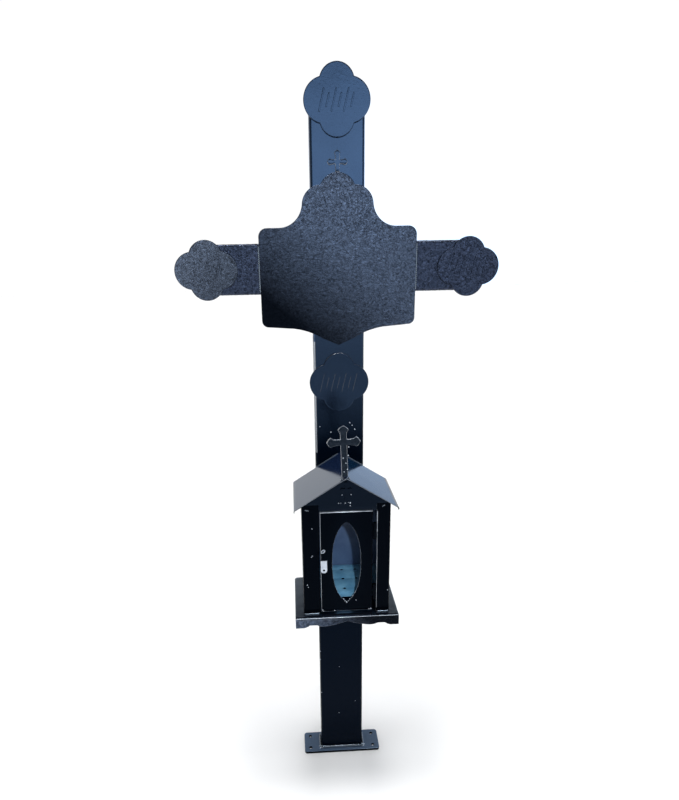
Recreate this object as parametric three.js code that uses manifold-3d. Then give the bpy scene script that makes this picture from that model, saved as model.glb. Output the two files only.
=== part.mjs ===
// Grave cross of welded steel tube and plate, with a small candle lantern on the front of its post.
// Millimetres, +Z up, the front faces -Y. The origin is the middle of the foot plate's underside.
import * as THREE from 'three';
import { mergeVertices } from 'three/addons/utils/BufferGeometryUtils.js';
import Module from 'manifold-3d';

const manifoldLibrary = await Module();
manifoldLibrary.setup();

// Driving sizes of the whole
const seam = 0.3; // left between pieces that touch or are welded together
const postWidth = 120;
const postDepth = 40;
const armHeight = 112;
const tubeWall = 3;
const tubeCornerRadius = 7;
const capThick = 3;
const tubeIntoPlate = 10; // how far a tube runs past the middle of its end plate

// Foot plate
const footMarginSide = 50; // foot plate beyond the post, left and right
const footMarginFront = 14; // foot plate beyond the post, front and back
const footThick = 8;
const footCornerRadius = 8;
const boltHoleRadius = 4.5;
const boltInsetX = 18; // from the plate's end to the middle of a hole
const boltInsetY = 14; // from the plate's front or back edge to the middle of a hole
const footWeldLeg = 7;
const footWeldShoulder = [0.86, 0.42]; // points of the bead's round, as shares of its leg
const footWeldCrown = [0.56, 0.76];

// Four-lobed plates: two lobes to the sides, two up and down. The pair on the post is wider.
const plateThick = 4;
const postPlate = { sideRadius: 45, sideOffset: 25.7, highRadius: 37.5, highOffset: 33.5 };
const armPlate = { sideRadius: 41.5, sideOffset: 29.2, highRadius: 37.8, highOffset: 28.2 };
const rightPlateDrop = 3; // the right plate sits this much lower on its arm

// Cartouche, measured from the middle of the crossing
const cartoucheHalfWidth = 177;
const archCentreRise = 158; // middle of the round arch on top
const archRadius = 41;
const bumpCentreX = 38; // middle of the round bump beside the arch
const bumpCentreRise = 133;
const bumpRadius = 41;
const shoulderRise = 87.6;
const shoulderFilletRadius = 52;
const upperCornerRadius = 19;
const lowerCornerRadius = 15;
const lowerCornerDrop = 129.5; // where the lower corner ends
const hemX = 104; // where the lower edge starts to curve down
const hemDrop = 134;
const hemControlX = 66;
const hemControlDrop = 139.5;
const tongueX = 36; // where the straight run to the point starts
const tongueDrop = 158.5;
const pointDrop = 174;

// Heights between the pieces, from the ground up
const lanternFloorZ = 583; // top of the lantern's shelf
const lowerPlateRise = 107; // lower plate's tip above the lantern's ridge
const cartoucheGap = 19; // cartouche's point above the lower plate
const topPlateGap = 23; // top plate above the relief cross
const sidePlateGap = 49; // side plates beyond the cartouche

// Inscription strokes
const strokeWidth = 3.6;
const strokeHeight = 1; // how far a stroke stands proud of its plate
const strokeLeanDeg = 14;
const strokePitch = 13;
const shortStrokeShare = 0.62; // a short stroke's length against a long one's
const inscriptionTop = { strokes: 6, length: 46 };
const inscriptionLeft = { strokes: 5, length: 50 };
const inscriptionRight = { strokes: 7, length: 50 };
const inscriptionLower = { strokes: 7, length: 46 };
const inscriptionMark = { strokes: 3, length: 24 };
const markRise = 32; // middle of the small mark above the cartouche's point

// Flared ends of the small crosses: distances from the tip as shares of the flare's length,
// widths as shares of the bar or of the flare
const flareNeck = 2.3;
const flareRoot = 1.5;
const flareRootWidth = 1.15;
const flareShoulder = 0.45;
const flareShoulderWidth = 0.32;

// Small cross on the post
const reliefThick = 2;
const reliefHeight = 44;
const reliefSpan = 45;
const reliefBar = 9.4;
const reliefArmDrop = 24; // from the top tip to the middle of the arms
const reliefFlare = 14;
const reliefFlareLength = 6;

// Lantern
const lanternWidth = 203;
const lanternDepth = 160;
const sheet = 2;
const shelfThick = 3;
const shelfMarginSide = 21;
const shelfMarginFront = 18;
const shelfCornerRadius = 9;
const apronHeight = 26;
const apronStraightX = 103; // from here out the apron's lower edge is straight
const apronWaves = [ // from there in to the middle: control point and end, each as x and rise
  [96, 1, 89, 6.5],
  [80, 6.5, 72, 6.5],
  [60, 0, 41, 4],
  [19, 8, 0, 15],
];
const sideWallHeight = 281.4;
const headerHeight = 15.4; // sheet between the door's opening and the top of the side walls
const roofPitchDeg = 32.6;
const roofOverhangSide = 17;
const roofOverhangFront = 10;
const eaveLip = 5;

// Door, its hinges and its latch
const doorWidth = 121;
const doorSheet = 2;
const doorProud = 2.5; // door's face in front of the stiles
const doorFlange = 8;
const doorGap = 1.5; // clearance at the latch side and the top
const doorSill = 6; // clearance under the door
const hingeSlot = 9; // clearance at the hinge side, filled by the barrels
const windowMarginX = 27.5;
const windowMarginZ = 26;
const windowPower = 2.5; // the window's outline is (1 - height ** power) ** root
const windowRoot = 0.7;
const windowSteps = 22;
const hingeInset = 30;
const barrelLength = 20;
const pinRadius = 2;
const pinLength = 15;
const pinClearance = 0.3;
const pinRoot = 1; // the pin's end inside its own barrel
const tabWidth = 15;
const tabHeight = 32;
const tabThick = 2;
const tabHoleRadius = 2.5;
const tabRise = 8; // tab's top above the door's middle
const loopRadius = 4.2;
const loopWire = 1.3;
const loopRise = 32;
const loopInset = 6; // from the door's edge to the middle of the loop
const keeperWidth = 5;
const keeperHeight = 47;
const keeperThick = 3;
const keeperRise = 27;

// Candle tray
const trayRise = 34; // tray's top above the shelf
const traySheet = 1.5;
const traySideClearance = 3;
const trayBackClearance = 1.5;
const trayFrontInset = 32;
const trayLip = 14;
const trayHoleRadius = 4;
const trayHolePitchX = 35;
const trayHolePitchY = 42;
const trayHoleBackInset = 22; // from the tray's back edge to the first row of holes
const trayColumns = 5;
const trayRows = 3;

// Finial cross on the ridge and small cross on the gable
const finialThick = 5;
const finialHeight = 124;
const finialSpan = 74;
const finialBar = 14;
const finialArmDrop = 38;
const finialFlare = 23;
const finialFlareLength = 9.5;
const finialLeanDeg = 1.8;
const finialShift = -3;
const finialSetback = 2; // behind the roof's front edge
const gableCrossHeight = 48;
const gableCrossSpan = 27;
const gableCrossBar = 6;
const gableCrossArmDrop = 20;
const gableCrossFlare = 9;
const gableCrossFlareLength = 4;
const gableCrossThick = 2;
const gableCrossTopGap = 9; // below the gable's peak

// Facets of the curves
const lobeSegments = 14;
const cartoucheSegments = 9;
const cornerSegments = 4;
const holeSegments = 8;
const trayHoleSides = 10;

// Worked out from the sizes above
const frontY = -postDepth / 2;
const plateBackY = frontY - seam;
const postPlateReach = postPlate.highOffset + postPlate.highRadius;
const armPlateReach = armPlate.sideOffset + armPlate.sideRadius;
const lanternBackY = frontY - seam;
const lanternFrontY = frontY - lanternDepth;
const roofTan = Math.tan(THREE.MathUtils.degToRad(roofPitchDeg));
const roofDrop = sheet / Math.cos(THREE.MathUtils.degToRad(roofPitchDeg)); // its sheet, straight down
const wallTopZ = lanternFloorZ + sideWallHeight;
const ridgeZ = wallTopZ + seam + roofDrop + (lanternWidth / 2) * roofTan;
const lowerPlateZ = ridgeZ + lowerPlateRise + postPlateReach;
const armZ = lowerPlateZ + postPlateReach + cartoucheGap + pointDrop;
const archTopZ = armZ + archCentreRise + archRadius;
const reliefTopZ = archTopZ + seam + reliefHeight;
const topPlateZ = reliefTopZ + topPlateGap + postPlateReach;
const sidePlateX = cartoucheHalfWidth + sidePlateGap + armPlateReach;
const doorHeight = sideWallHeight - headerHeight - doorGap - doorSill;
const doorBottomZ = lanternFloorZ + doorSill;
const doorTopZ = doorBottomZ + doorHeight;
const doorMiddleZ = (doorBottomZ + doorTopZ) / 2;
const doorFrontY = lanternFrontY - doorProud;
const openingLeftX = -doorWidth / 2 - doorGap;
const openingRightX = doorWidth / 2 + hingeSlot;
const barrelRadius = hingeSlot / 2 - seam;
const hingeX = doorWidth / 2 + hingeSlot / 2;
const hingeY = lanternFrontY - doorProud / 2;

// Finishes
const paint = { color: 0x10151d, roughness: 0.22, metalness: 0.1 };
const zinc = { color: 0xb9bfc4, roughness: 0.35, metalness: 1 };
const inside = { color: 0x6f8796, roughness: 0.5, metalness: 0.4 };

const cross = new THREE.Group();
cross.name = 'wrought_iron_cross';

function add(name, geometry, finish = paint) {
  const mesh = new THREE.Mesh(geometry, new THREE.MeshStandardMaterial(finish));
  mesh.name = name;
  cross.add(mesh);
  return mesh;
}

// Closed geometry to a solid that can be joined or cut, and back
function solid(geometry) {
  const bare = geometry.clone();
  bare.deleteAttribute('normal');
  bare.deleteAttribute('uv');
  const merged = mergeVertices(bare, 1e-4);
  return new manifoldLibrary.Manifold(new manifoldLibrary.Mesh({
    numProp: 3,
    vertProperties: new Float32Array(merged.attributes.position.array),
    triVerts: new Uint32Array(merged.index.array),
  }));
}

function geometryOf(body) {
  const mesh = body.getMesh();
  const geometry = new THREE.BufferGeometry();
  geometry.setAttribute('position', new THREE.BufferAttribute(new Float32Array(mesh.vertProperties), 3));
  geometry.setIndex(new THREE.BufferAttribute(new Uint32Array(mesh.triVerts), 1));
  geometry.computeVertexNormals();
  return geometry;
}

function joined(first, ...others) {
  return geometryOf(others.reduce((body, other) => body.add(solid(other)), solid(first)));
}

function cut(first, ...tools) {
  return geometryOf(tools.reduce((body, tool) => body.subtract(solid(tool)), solid(first)));
}

// An outline pushed up along Z, out of the front along -Y, or along X
function extruded(shape, length, curveSegments = 6) {
  return new THREE.ExtrudeGeometry(shape, { depth: length, bevelEnabled: false, curveSegments });
}

function upright(shape, length, bottomZ, curveSegments = cornerSegments) {
  return extruded(shape, length, curveSegments).translate(0, 0, bottomZ);
}

function facing(shape, thick, backY, curveSegments) {
  return extruded(shape, thick, curveSegments).rotateX(Math.PI / 2).translate(0, backY, 0);
}

function sideways(shape, length, startX) {
  const turn = new THREE.Matrix4().makeBasis(
    new THREE.Vector3(0, 1, 0),
    new THREE.Vector3(0, 0, 1),
    new THREE.Vector3(1, 0, 0),
  );
  return extruded(shape, length, cornerSegments).applyMatrix4(turn).translate(startX, 0, 0);
}

function block(x0, x1, y0, y1, z0, z1) {
  const box = new THREE.BoxGeometry(x1 - x0, y1 - y0, z1 - z0);
  return box.translate((x0 + x1) / 2, (y0 + y1) / 2, (z0 + z1) / 2);
}

function polygon(points) {
  return new THREE.Shape(points.map(([x, y]) => new THREE.Vector2(x, y)));
}

function roundedRectangle(width, height, radius, middleX = 0, middleY = 0) {
  const x = width / 2 - radius;
  const y = height / 2 - radius;
  const shape = new THREE.Shape();
  shape.absarc(middleX + x, middleY + y, radius, 0, Math.PI / 2);
  shape.absarc(middleX - x, middleY + y, radius, Math.PI / 2, Math.PI);
  shape.absarc(middleX - x, middleY - y, radius, Math.PI, 1.5 * Math.PI);
  shape.absarc(middleX + x, middleY - y, radius, 1.5 * Math.PI, 2 * Math.PI);
  return shape;
}

function tubeSection(width, height, middleX = 0, middleY = 0) {
  const shape = roundedRectangle(width, height, tubeCornerRadius, middleX, middleY);
  const inner = roundedRectangle(
    width - 2 * tubeWall,
    height - 2 * tubeWall,
    tubeCornerRadius - tubeWall,
    middleX,
    middleY,
  );
  shape.holes.push(inner);
  return shape;
}

function uprightRod(radius, length, x, y, bottomZ, sides = 16) {
  const rod = new THREE.CylinderGeometry(radius, radius, length, sides);
  return rod.rotateX(Math.PI / 2).translate(x, y, bottomZ + length / 2);
}

// Foot plate with its bolt holes, and the weld bead round the post
function footPlate() {
  const width = postWidth + 2 * footMarginSide;
  const depth = postDepth + 2 * footMarginFront;
  const plate = roundedRectangle(width, depth, footCornerRadius);
  for (const side of [-1, 1]) {
    for (const end of [-1, 1]) {
      const hole = new THREE.Path();
      const x = side * (width / 2 - boltInsetX);
      const y = end * (depth / 2 - boltInsetY);
      hole.absarc(x, y, boltHoleRadius, 0, 2 * Math.PI);
      plate.holes.push(hole);
    }
  }
  return upright(plate, footThick, 0, holeSegments);
}

// A bead of this section runs round an outline: section points are [out, up]
function beadRound(outline, section, bottomZ) {
  const count = outline.length;
  const sides = section.length;
  const positions = [];
  outline.forEach((point, index) => {
    const before = outline[(index + count - 1) % count];
    const after = outline[(index + 1) % count];
    const along = after.clone().sub(before).normalize();
    const out = new THREE.Vector2(along.y, -along.x);
    for (const [away, up] of section) {
      positions.push(point.x + out.x * away, point.y + out.y * away, bottomZ + up);
    }
  });
  const faces = [];
  for (let i = 0; i < count; i += 1) {
    const next = (i + 1) % count;
    for (let j = 0; j < sides; j += 1) {
      const up = (j + 1) % sides;
      const a = i * sides + j;
      const b = next * sides + j;
      const c = next * sides + up;
      const d = i * sides + up;
      faces.push(a, b, c, a, c, d);
    }
  }
  const geometry = new THREE.BufferGeometry();
  geometry.setAttribute('position', new THREE.Float32BufferAttribute(positions, 3));
  geometry.setIndex(faces);
  geometry.computeVertexNormals();
  return geometry;
}

function footWeld() {
  const outline = roundedRectangle(postWidth, postDepth, tubeCornerRadius).getPoints(5);
  const round = outline.filter((p, i) => i === 0 || p.distanceTo(outline[i - 1]) > 0.01);
  if (round[0].distanceTo(round[round.length - 1]) < 0.01) round.pop();
  const section = [
    [seam, seam],
    [footWeldLeg, seam],
    footWeldShoulder.map((share) => share * footWeldLeg),
    footWeldCrown.map((share) => share * footWeldLeg),
    [seam, footWeldLeg],
  ];
  return beadRound(round, section, footThick);
}

// Where two circles meet, on the side with the larger x + y
function circlesMeet(a, radiusA, b, radiusB) {
  const apart = a.distanceTo(b);
  const along = (apart * apart + radiusA * radiusA - radiusB * radiusB) / (2 * apart);
  const off = Math.sqrt(radiusA * radiusA - along * along);
  const unit = b.clone().sub(a).divideScalar(apart);
  const base = a.clone().addScaledVector(unit, along);
  const normal = new THREE.Vector2(-unit.y, unit.x);
  const one = base.clone().addScaledVector(normal, off);
  const two = base.clone().addScaledVector(normal, -off);
  return one.x + one.y > two.x + two.y ? one : two;
}

function angleAt(point, centre) {
  return Math.atan2(point.y - centre.y, point.x - centre.x);
}

// Outline of four lobes round a middle
function lobedOutline({ sideRadius, sideOffset, highRadius, highOffset }, middleX, middleY) {
  const sideLobe = new THREE.Vector2(sideOffset, 0);
  const highLobe = new THREE.Vector2(0, highOffset);
  const notch = circlesMeet(sideLobe, sideRadius, highLobe, highRadius);
  const sideSpread = angleAt(notch, sideLobe);
  const highSpread = Math.PI / 2 - angleAt(notch, highLobe);
  const shape = new THREE.Shape();
  const lobes = [
    [sideOffset, sideRadius, 0, sideSpread],
    [highOffset, highRadius, Math.PI / 2, highSpread],
    [sideOffset, sideRadius, Math.PI, sideSpread],
    [highOffset, highRadius, 1.5 * Math.PI, highSpread],
  ];
  for (const [offset, radius, way, spread] of lobes) {
    const x = middleX + offset * Math.cos(way);
    const y = middleY + offset * Math.sin(way);
    shape.absarc(x, y, radius, way - spread, way + spread);
  }
  return shape;
}

// A row of leaning strokes, long and short in turn, standing proud of a plate's face
function strokeRow({ strokes: count, length }, middleX, middleZ) {
  const backY = plateBackY - plateThick + seam;
  const lean = THREE.MathUtils.degToRad(strokeLeanDeg);
  const strokes = [];
  for (let i = 0; i < count; i += 1) {
    const tall = i % 2 === 0 ? length : length * shortStrokeShare;
    const half = tall / 2 - strokeWidth / 2;
    const stroke = new THREE.Shape();
    stroke.absarc(0, half, strokeWidth / 2, 0, Math.PI);
    stroke.absarc(0, -half, strokeWidth / 2, Math.PI, 2 * Math.PI);
    const x = middleX + (i - (count - 1) / 2) * strokePitch;
    const turned = extruded(stroke, strokeHeight + seam, 3).rotateZ(-lean);
    strokes.push(turned.rotateX(Math.PI / 2).translate(x, backY, middleZ));
  }
  return strokes;
}

function lobedPlate(lobes, middleX, middleZ, inscription) {
  const plate = facing(lobedOutline(lobes, middleX, middleZ), plateThick, plateBackY, lobeSegments);
  return joined(plate, ...strokeRow(inscription, middleX, middleZ));
}

// Cartouche outline: the right half is drawn and mirrored
function cartoucheOutline() {
  const arch = new THREE.Vector2(0, archCentreRise);
  const bump = new THREE.Vector2(bumpCentreX, bumpCentreRise);
  const notch = circlesMeet(arch, archRadius, bump, bumpRadius);
  const filletZ = shoulderRise + shoulderFilletRadius;
  const reach = bumpRadius + shoulderFilletRadius;
  const filletX = bumpCentreX + Math.sqrt(reach * reach - (bumpCentreRise - filletZ) ** 2);
  const fillet = new THREE.Vector2(filletX, filletZ);
  const touch = angleAt(fillet, bump);
  const half = new THREE.Path();
  half.moveTo(0, -pointDrop);
  half.lineTo(tongueX, -tongueDrop);
  half.quadraticCurveTo(hemControlX, -hemControlDrop, hemX, -hemDrop);
  const lowX = cartoucheHalfWidth - lowerCornerRadius;
  const lowZ = lowerCornerRadius - lowerCornerDrop;
  half.absarc(lowX, lowZ, lowerCornerRadius, -Math.PI / 2, 0);
  const highX = cartoucheHalfWidth - upperCornerRadius;
  half.absarc(highX, shoulderRise - upperCornerRadius, upperCornerRadius, 0, Math.PI / 2);
  half.absarc(fillet.x, fillet.y, shoulderFilletRadius, -Math.PI / 2, touch + Math.PI, true);
  half.absarc(bump.x, bump.y, bumpRadius, touch, angleAt(notch, bump));
  half.absarc(arch.x, arch.y, archRadius, angleAt(notch, arch), Math.PI / 2);
  const drawn = half.getPoints(cartoucheSegments);
  const right = drawn.filter((p, i, all) => i === 0 || p.distanceTo(all[i - 1]) > 0.05);
  const left = right.slice(1, -1).reverse().map((p) => new THREE.Vector2(-p.x, p.y));
  const whole = [...right, ...left].map((p) => new THREE.Vector2(p.x, p.y + armZ));
  return new THREE.Shape(whole);
}

function cartouche() {
  const plate = facing(cartoucheOutline(), plateThick, plateBackY);
  return joined(plate, ...strokeRow(inscriptionMark, 0, armZ - pointDrop + markRise));
}

// Cross with flared, pointed ends, top tip at topZ; foot is a list of [x, z] from right to left
function flaredCross({ middleX, topZ, armZ: armsAt, span, bar, flare, flareLength, foot }) {
  const half = bar / 2;
  const tip = (dx, dz) => {
    const side = (along, across) => [
      middleX + dx * along - dz * across,
      armsAt + dz * along + dx * across,
    ];
    const reach = dz > 0 ? topZ - armsAt : span / 2;
    const profile = [
      [reach - flareLength * flareNeck, half],
      [reach - flareLength * flareRoot, half * flareRootWidth],
      [reach - flareLength, flare / 2],
      [reach - flareLength * flareShoulder, flare * flareShoulderWidth],
    ];
    const back = profile.slice().reverse();
    return [
      ...profile.map(([along, across]) => side(along, -across)),
      side(reach, 0),
      ...back.map(([along, across]) => side(along, across)),
    ];
  };
  return polygon([
    ...foot.map(([x, z]) => [middleX + x, z]),
    [middleX + half, armsAt - half],
    ...tip(1, 0),
    [middleX + half, armsAt + half],
    ...tip(0, 1),
    [middleX - half, armsAt + half],
    ...tip(-1, 0),
    [middleX - half, armsAt - half],
  ]);
}

function reliefCross() {
  const shape = flaredCross({
    middleX: 0,
    topZ: reliefTopZ,
    armZ: reliefTopZ - reliefArmDrop,
    span: reliefSpan,
    bar: reliefBar,
    flare: reliefFlare,
    flareLength: reliefFlareLength,
    foot: [[-reliefBar / 2, archTopZ + seam], [reliefBar / 2, archTopZ + seam]],
  });
  return facing(shape, reliefThick, plateBackY);
}

// Lantern shelf: a plate with round back corners and a scalloped apron folded down in front
function lanternBase() {
  const half = lanternWidth / 2 + shelfMarginSide;
  const shelfFrontY = lanternFrontY - shelfMarginFront;
  const r = shelfCornerRadius;
  const shelf = new THREE.Shape();
  shelf.moveTo(-half, shelfFrontY);
  shelf.lineTo(half, shelfFrontY);
  shelf.absarc(half - r, lanternBackY - r, r, 0, Math.PI / 2);
  shelf.absarc(-half + r, lanternBackY - r, r, Math.PI / 2, Math.PI);
  const plate = upright(shelf, shelfThick, lanternFloorZ - shelfThick);
  const low = lanternFloorZ - apronHeight;
  const edge = new THREE.Path();
  edge.moveTo(-half, lanternFloorZ);
  edge.lineTo(-half, low);
  edge.lineTo(-apronStraightX, low);
  for (const [controlX, controlRise, x, rise] of apronWaves) {
    edge.quadraticCurveTo(-controlX, low + controlRise, -x, low + rise);
  }
  const left = edge.getPoints(cornerSegments);
  const right = left.slice(0, -1).reverse().map((p) => new THREE.Vector2(-p.x, p.y));
  const apron = new THREE.Shape([...left, ...right]);
  return joined(plate, facing(apron, shelfThick, shelfFrontY + shelfThick));
}

function roofTop(x) {
  return ridgeZ - Math.abs(x) * roofTan;
}

function roofUnder(x) {
  return roofTop(x) - roofDrop - seam;
}

function lanternBack() {
  const half = lanternWidth / 2;
  const bottom = lanternFloorZ + seam;
  const shape = polygon([
    [-half, bottom],
    [half, bottom],
    [half, wallTopZ],
    [0, roofUnder(0)],
    [-half, wallTopZ],
  ]);
  return facing(shape, sheet, lanternBackY);
}

// Side wall and front stile folded from one sheet, as an L in plan
function lanternSide(side, stileEdgeX) {
  const outer = (side * lanternWidth) / 2;
  const inner = outer - side * sheet;
  const backY = lanternBackY - sheet - seam;
  const points = [
    [outer, backY],
    [inner, backY],
    [inner, lanternFrontY + sheet],
    [stileEdgeX, lanternFrontY + sheet],
    [stileEdgeX, lanternFrontY],
    [outer, lanternFrontY],
  ];
  const bottom = lanternFloorZ + seam;
  return upright(polygon(points), wallTopZ - bottom, bottom);
}

function lanternGable() {
  const half = lanternWidth / 2 - 1.5 * sheet;
  const low = wallTopZ + seam;
  const header = wallTopZ - headerHeight;
  const left = openingLeftX + seam;
  const right = openingRightX - seam;
  const shape = polygon([
    [left, header],
    [right, header],
    [right, low],
    [half, low],
    [half, roofUnder(half)],
    [0, roofUnder(0)],
    [-half, roofUnder(half)],
    [-half, low],
    [left, low],
  ]);
  return facing(shape, sheet, lanternFrontY + sheet);
}

function lanternRoof() {
  const half = lanternWidth / 2 + roofOverhangSide;
  const lipZ = roofTop(half) - eaveLip;
  const inner = half - sheet;
  const shape = polygon([
    [-half, lipZ],
    [-inner, lipZ],
    [-inner, roofTop(inner) - roofDrop],
    [0, ridgeZ - roofDrop],
    [inner, roofTop(inner) - roofDrop],
    [inner, lipZ],
    [half, lipZ],
    [half, roofTop(half)],
    [0, ridgeZ],
    [-half, roofTop(half)],
  ]);
  return facing(shape, lanternDepth + roofOverhangFront - seam, lanternBackY);
}

function finialCross() {
  const half = finialBar / 2;
  const shape = flaredCross({
    middleX: 0,
    topZ: finialHeight,
    armZ: finialHeight - finialArmDrop,
    span: finialSpan,
    bar: finialBar,
    flare: finialFlare,
    flareLength: finialFlareLength,
    foot: [[-half, 0], [half, 0]],
  });
  const lean = THREE.MathUtils.degToRad(finialLeanDeg);
  const roofFrontY = lanternFrontY - roofOverhangFront;
  const backY = roofFrontY + finialSetback + finialThick;
  const footZ = ridgeZ - half * roofTan;
  const plain = facing(shape, finialThick, 0).rotateY(-lean).translate(finialShift, backY, footZ);
  const roofHalf = lanternWidth / 2;
  const under = facing(polygon([
    [-roofHalf, roofTop(roofHalf) + seam],
    [-roofHalf, roofTop(roofHalf) - roofHalf],
    [roofHalf, roofTop(roofHalf) - roofHalf],
    [roofHalf, roofTop(roofHalf) + seam],
    [0, ridgeZ + seam],
  ]), finialThick * 3, backY + finialThick);
  return cut(plain, under);
}

function gableCross() {
  const peak = roofUnder(0) - gableCrossTopGap;
  const half = gableCrossBar / 2;
  const shape = flaredCross({
    middleX: 0,
    topZ: peak,
    armZ: peak - gableCrossArmDrop,
    span: gableCrossSpan,
    bar: gableCrossBar,
    flare: gableCrossFlare,
    flareLength: gableCrossFlareLength,
    foot: [[-half, peak - gableCrossHeight], [half, peak - gableCrossHeight]],
  });
  return facing(shape, gableCrossThick, lanternFrontY - seam);
}

// Raised floor with side legs, a front lip and rows of round holes
function candleTray() {
  const half = lanternWidth / 2 - sheet - traySideClearance;
  const top = lanternFloorZ + trayRise;
  const back = lanternBackY - sheet - trayBackClearance;
  const front = lanternFrontY + sheet + trayFrontInset;
  const bottom = lanternFloorZ + seam;
  const floor = block(-half, half, front, back, top - traySheet, top);
  const left = block(-half, -half + traySheet, front, back, bottom, top);
  const right = block(half - traySheet, half, front, back, bottom, top);
  const lip = block(-half, half, front, front + traySheet, top - trayLip, top);
  const holes = [];
  for (let column = 0; column < trayColumns; column += 1) {
    for (let row = 0; row < trayRows; row += 1) {
      const x = (column - (trayColumns - 1) / 2) * trayHolePitchX;
      const y = back - trayHoleBackInset - row * trayHolePitchY;
      holes.push(uprightRod(trayHoleRadius, 3 * traySheet, x, y, top - 2 * traySheet, trayHoleSides));
    }
  }
  return cut(joined(floor, left, right, lip), ...holes);
}

// Flame-shaped window: a long pointed oval, full in the middle
function windowOutline() {
  const halfWidth = doorWidth / 2 - windowMarginX;
  const halfHeight = doorHeight / 2 - windowMarginZ;
  const right = [];
  for (let i = 0; i <= windowSteps; i += 1) {
    const t = -Math.cos((Math.PI * i) / windowSteps);
    const x = halfWidth * (1 - Math.abs(t) ** windowPower) ** windowRoot;
    right.push(new THREE.Vector2(x, doorMiddleZ + t * halfHeight));
  }
  const left = right.slice(1, -1).reverse().map((p) => new THREE.Vector2(-p.x, p.y));
  return new THREE.Path([...right, ...left]);
}

// Door: a sheet with its four edges folded back
function doorPanel() {
  const half = doorWidth / 2;
  const face = polygon([[-half, doorBottomZ], [half, doorBottomZ], [half, doorTopZ], [-half, doorTopZ]]);
  face.holes.push(windowOutline());
  const front = facing(face, doorSheet, doorFrontY + doorSheet);
  const y0 = doorFrontY;
  const y1 = doorFrontY + doorFlange;
  return joined(
    front,
    block(-half, -half + doorSheet, y0, y1, doorBottomZ, doorTopZ),
    block(half - doorSheet, half, y0, y1, doorBottomZ, doorTopZ),
    block(-half, half, y0, y1, doorBottomZ, doorBottomZ + doorSheet),
    block(-half, half, y0, y1, doorTopZ - doorSheet, doorTopZ),
  );
}

// Each hinge: a barrel with a pin on the stile, and a bored barrel on the door above it
function hingeFrameHalf(bottomZ) {
  const barrel = uprightRod(barrelRadius, barrelLength, hingeX, hingeY, bottomZ);
  const pinBottomZ = bottomZ + barrelLength - pinRoot;
  const pin = uprightRod(pinRadius, pinLength + pinRoot, hingeX, hingeY, pinBottomZ);
  return joined(barrel, pin);
}

function hingeDoorHalf(bottomZ) {
  const barrel = uprightRod(barrelRadius, barrelLength, hingeX, hingeY, bottomZ);
  const boreLength = pinRoot + pinLength + pinRoot;
  const bore = uprightRod(pinRadius + pinClearance, boreLength, hingeX, hingeY, bottomZ - pinRoot);
  return cut(barrel, bore);
}

function latchTab() {
  const left = -doorWidth / 2 + seam;
  const right = left + tabWidth;
  const top = doorMiddleZ + tabRise;
  const bottom = top - tabHeight;
  const r = tabWidth / 2;
  const shape = new THREE.Shape();
  shape.moveTo(right, top);
  shape.lineTo(left, top);
  shape.absarc(left + r, bottom + r, r, Math.PI, 2 * Math.PI);
  const hole = new THREE.Path();
  hole.absarc(left + r, bottom + r, tabHoleRadius, 0, 2 * Math.PI);
  shape.holes.push(hole);
  return facing(shape, tabThick, doorFrontY - seam, holeSegments);
}

function latchLoop() {
  const ring = new THREE.TorusGeometry(loopRadius, loopWire, 8, 16);
  const x = -doorWidth / 2 + loopInset;
  return ring.rotateX(Math.PI / 2).translate(x, doorFrontY - seam - loopWire, doorMiddleZ + loopRise);
}

function latchKeeper() {
  const right = openingLeftX - seam;
  const top = doorMiddleZ + keeperRise;
  const y1 = lanternFrontY - seam;
  return block(right - keeperWidth, right, y1 - keeperThick, y1, top - keeperHeight, top);
}

// The cross: foot, post and arms
const postTopZ = topPlateZ + tubeIntoPlate;
const armEndX = sidePlateX + tubeIntoPlate;
add('foot_plate', footPlate());
add('foot_weld', footWeld());
const postBottomZ = footThick + seam;
const postLength = postTopZ - capThick - seam - postBottomZ;
add('post_tube', upright(tubeSection(postWidth, postDepth), postLength, postBottomZ));
const postSection = roundedRectangle(postWidth, postDepth, tubeCornerRadius);
add('post_cap', upright(postSection, capThick, postTopZ - capThick));
const armStartX = postWidth / 2 + seam;
const armLength = armEndX - capThick - seam - armStartX;
const armSection = roundedRectangle(postDepth, armHeight, tubeCornerRadius, 0, armZ);
const armTube = tubeSection(postDepth, armHeight, 0, armZ);
add('arm_tube_left', sideways(armTube, armLength, -armStartX - armLength));
add('arm_tube_right', sideways(armTube, armLength, armStartX));
add('arm_cap_left', sideways(armSection, capThick, -armEndX));
add('arm_cap_right', sideways(armSection, capThick, armEndX - capThick));

// Plates on the front of the cross
add('plate_top', lobedPlate(postPlate, 0, topPlateZ, inscriptionTop));
add('plate_left', lobedPlate(armPlate, -sidePlateX, armZ, inscriptionLeft));
add('plate_right', lobedPlate(armPlate, sidePlateX, armZ - rightPlateDrop, inscriptionRight));
add('plate_lower', lobedPlate(postPlate, 0, lowerPlateZ, inscriptionLower));
add('cartouche', cartouche());
add('relief_cross', reliefCross());

// The lantern
add('lantern_base', lanternBase());
add('lantern_back', lanternBack());
add('lantern_side_left', lanternSide(-1, openingLeftX));
add('lantern_side_right', lanternSide(1, openingRightX));
add('lantern_gable', lanternGable());
add('lantern_roof', lanternRoof());
add('finial_cross', finialCross());
add('gable_cross', gableCross());
add('candle_tray', candleTray(), inside);
add('latch_keeper', latchKeeper());

// The door and its hinges
add('door_panel', doorPanel());
const lowerHingeZ = doorBottomZ + hingeInset;
const upperHingeZ = doorTopZ - hingeInset - 2 * barrelLength - seam;
for (const [place, bottomZ] of [['lower', lowerHingeZ], ['upper', upperHingeZ]]) {
  add(`hinge_frame_${place}`, hingeFrameHalf(bottomZ));
  add(`hinge_door_${place}`, hingeDoorHalf(bottomZ + barrelLength + seam));
}
add('latch_tab', latchTab(), zinc);
add('latch_loop', latchLoop());

export default cross;
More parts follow.
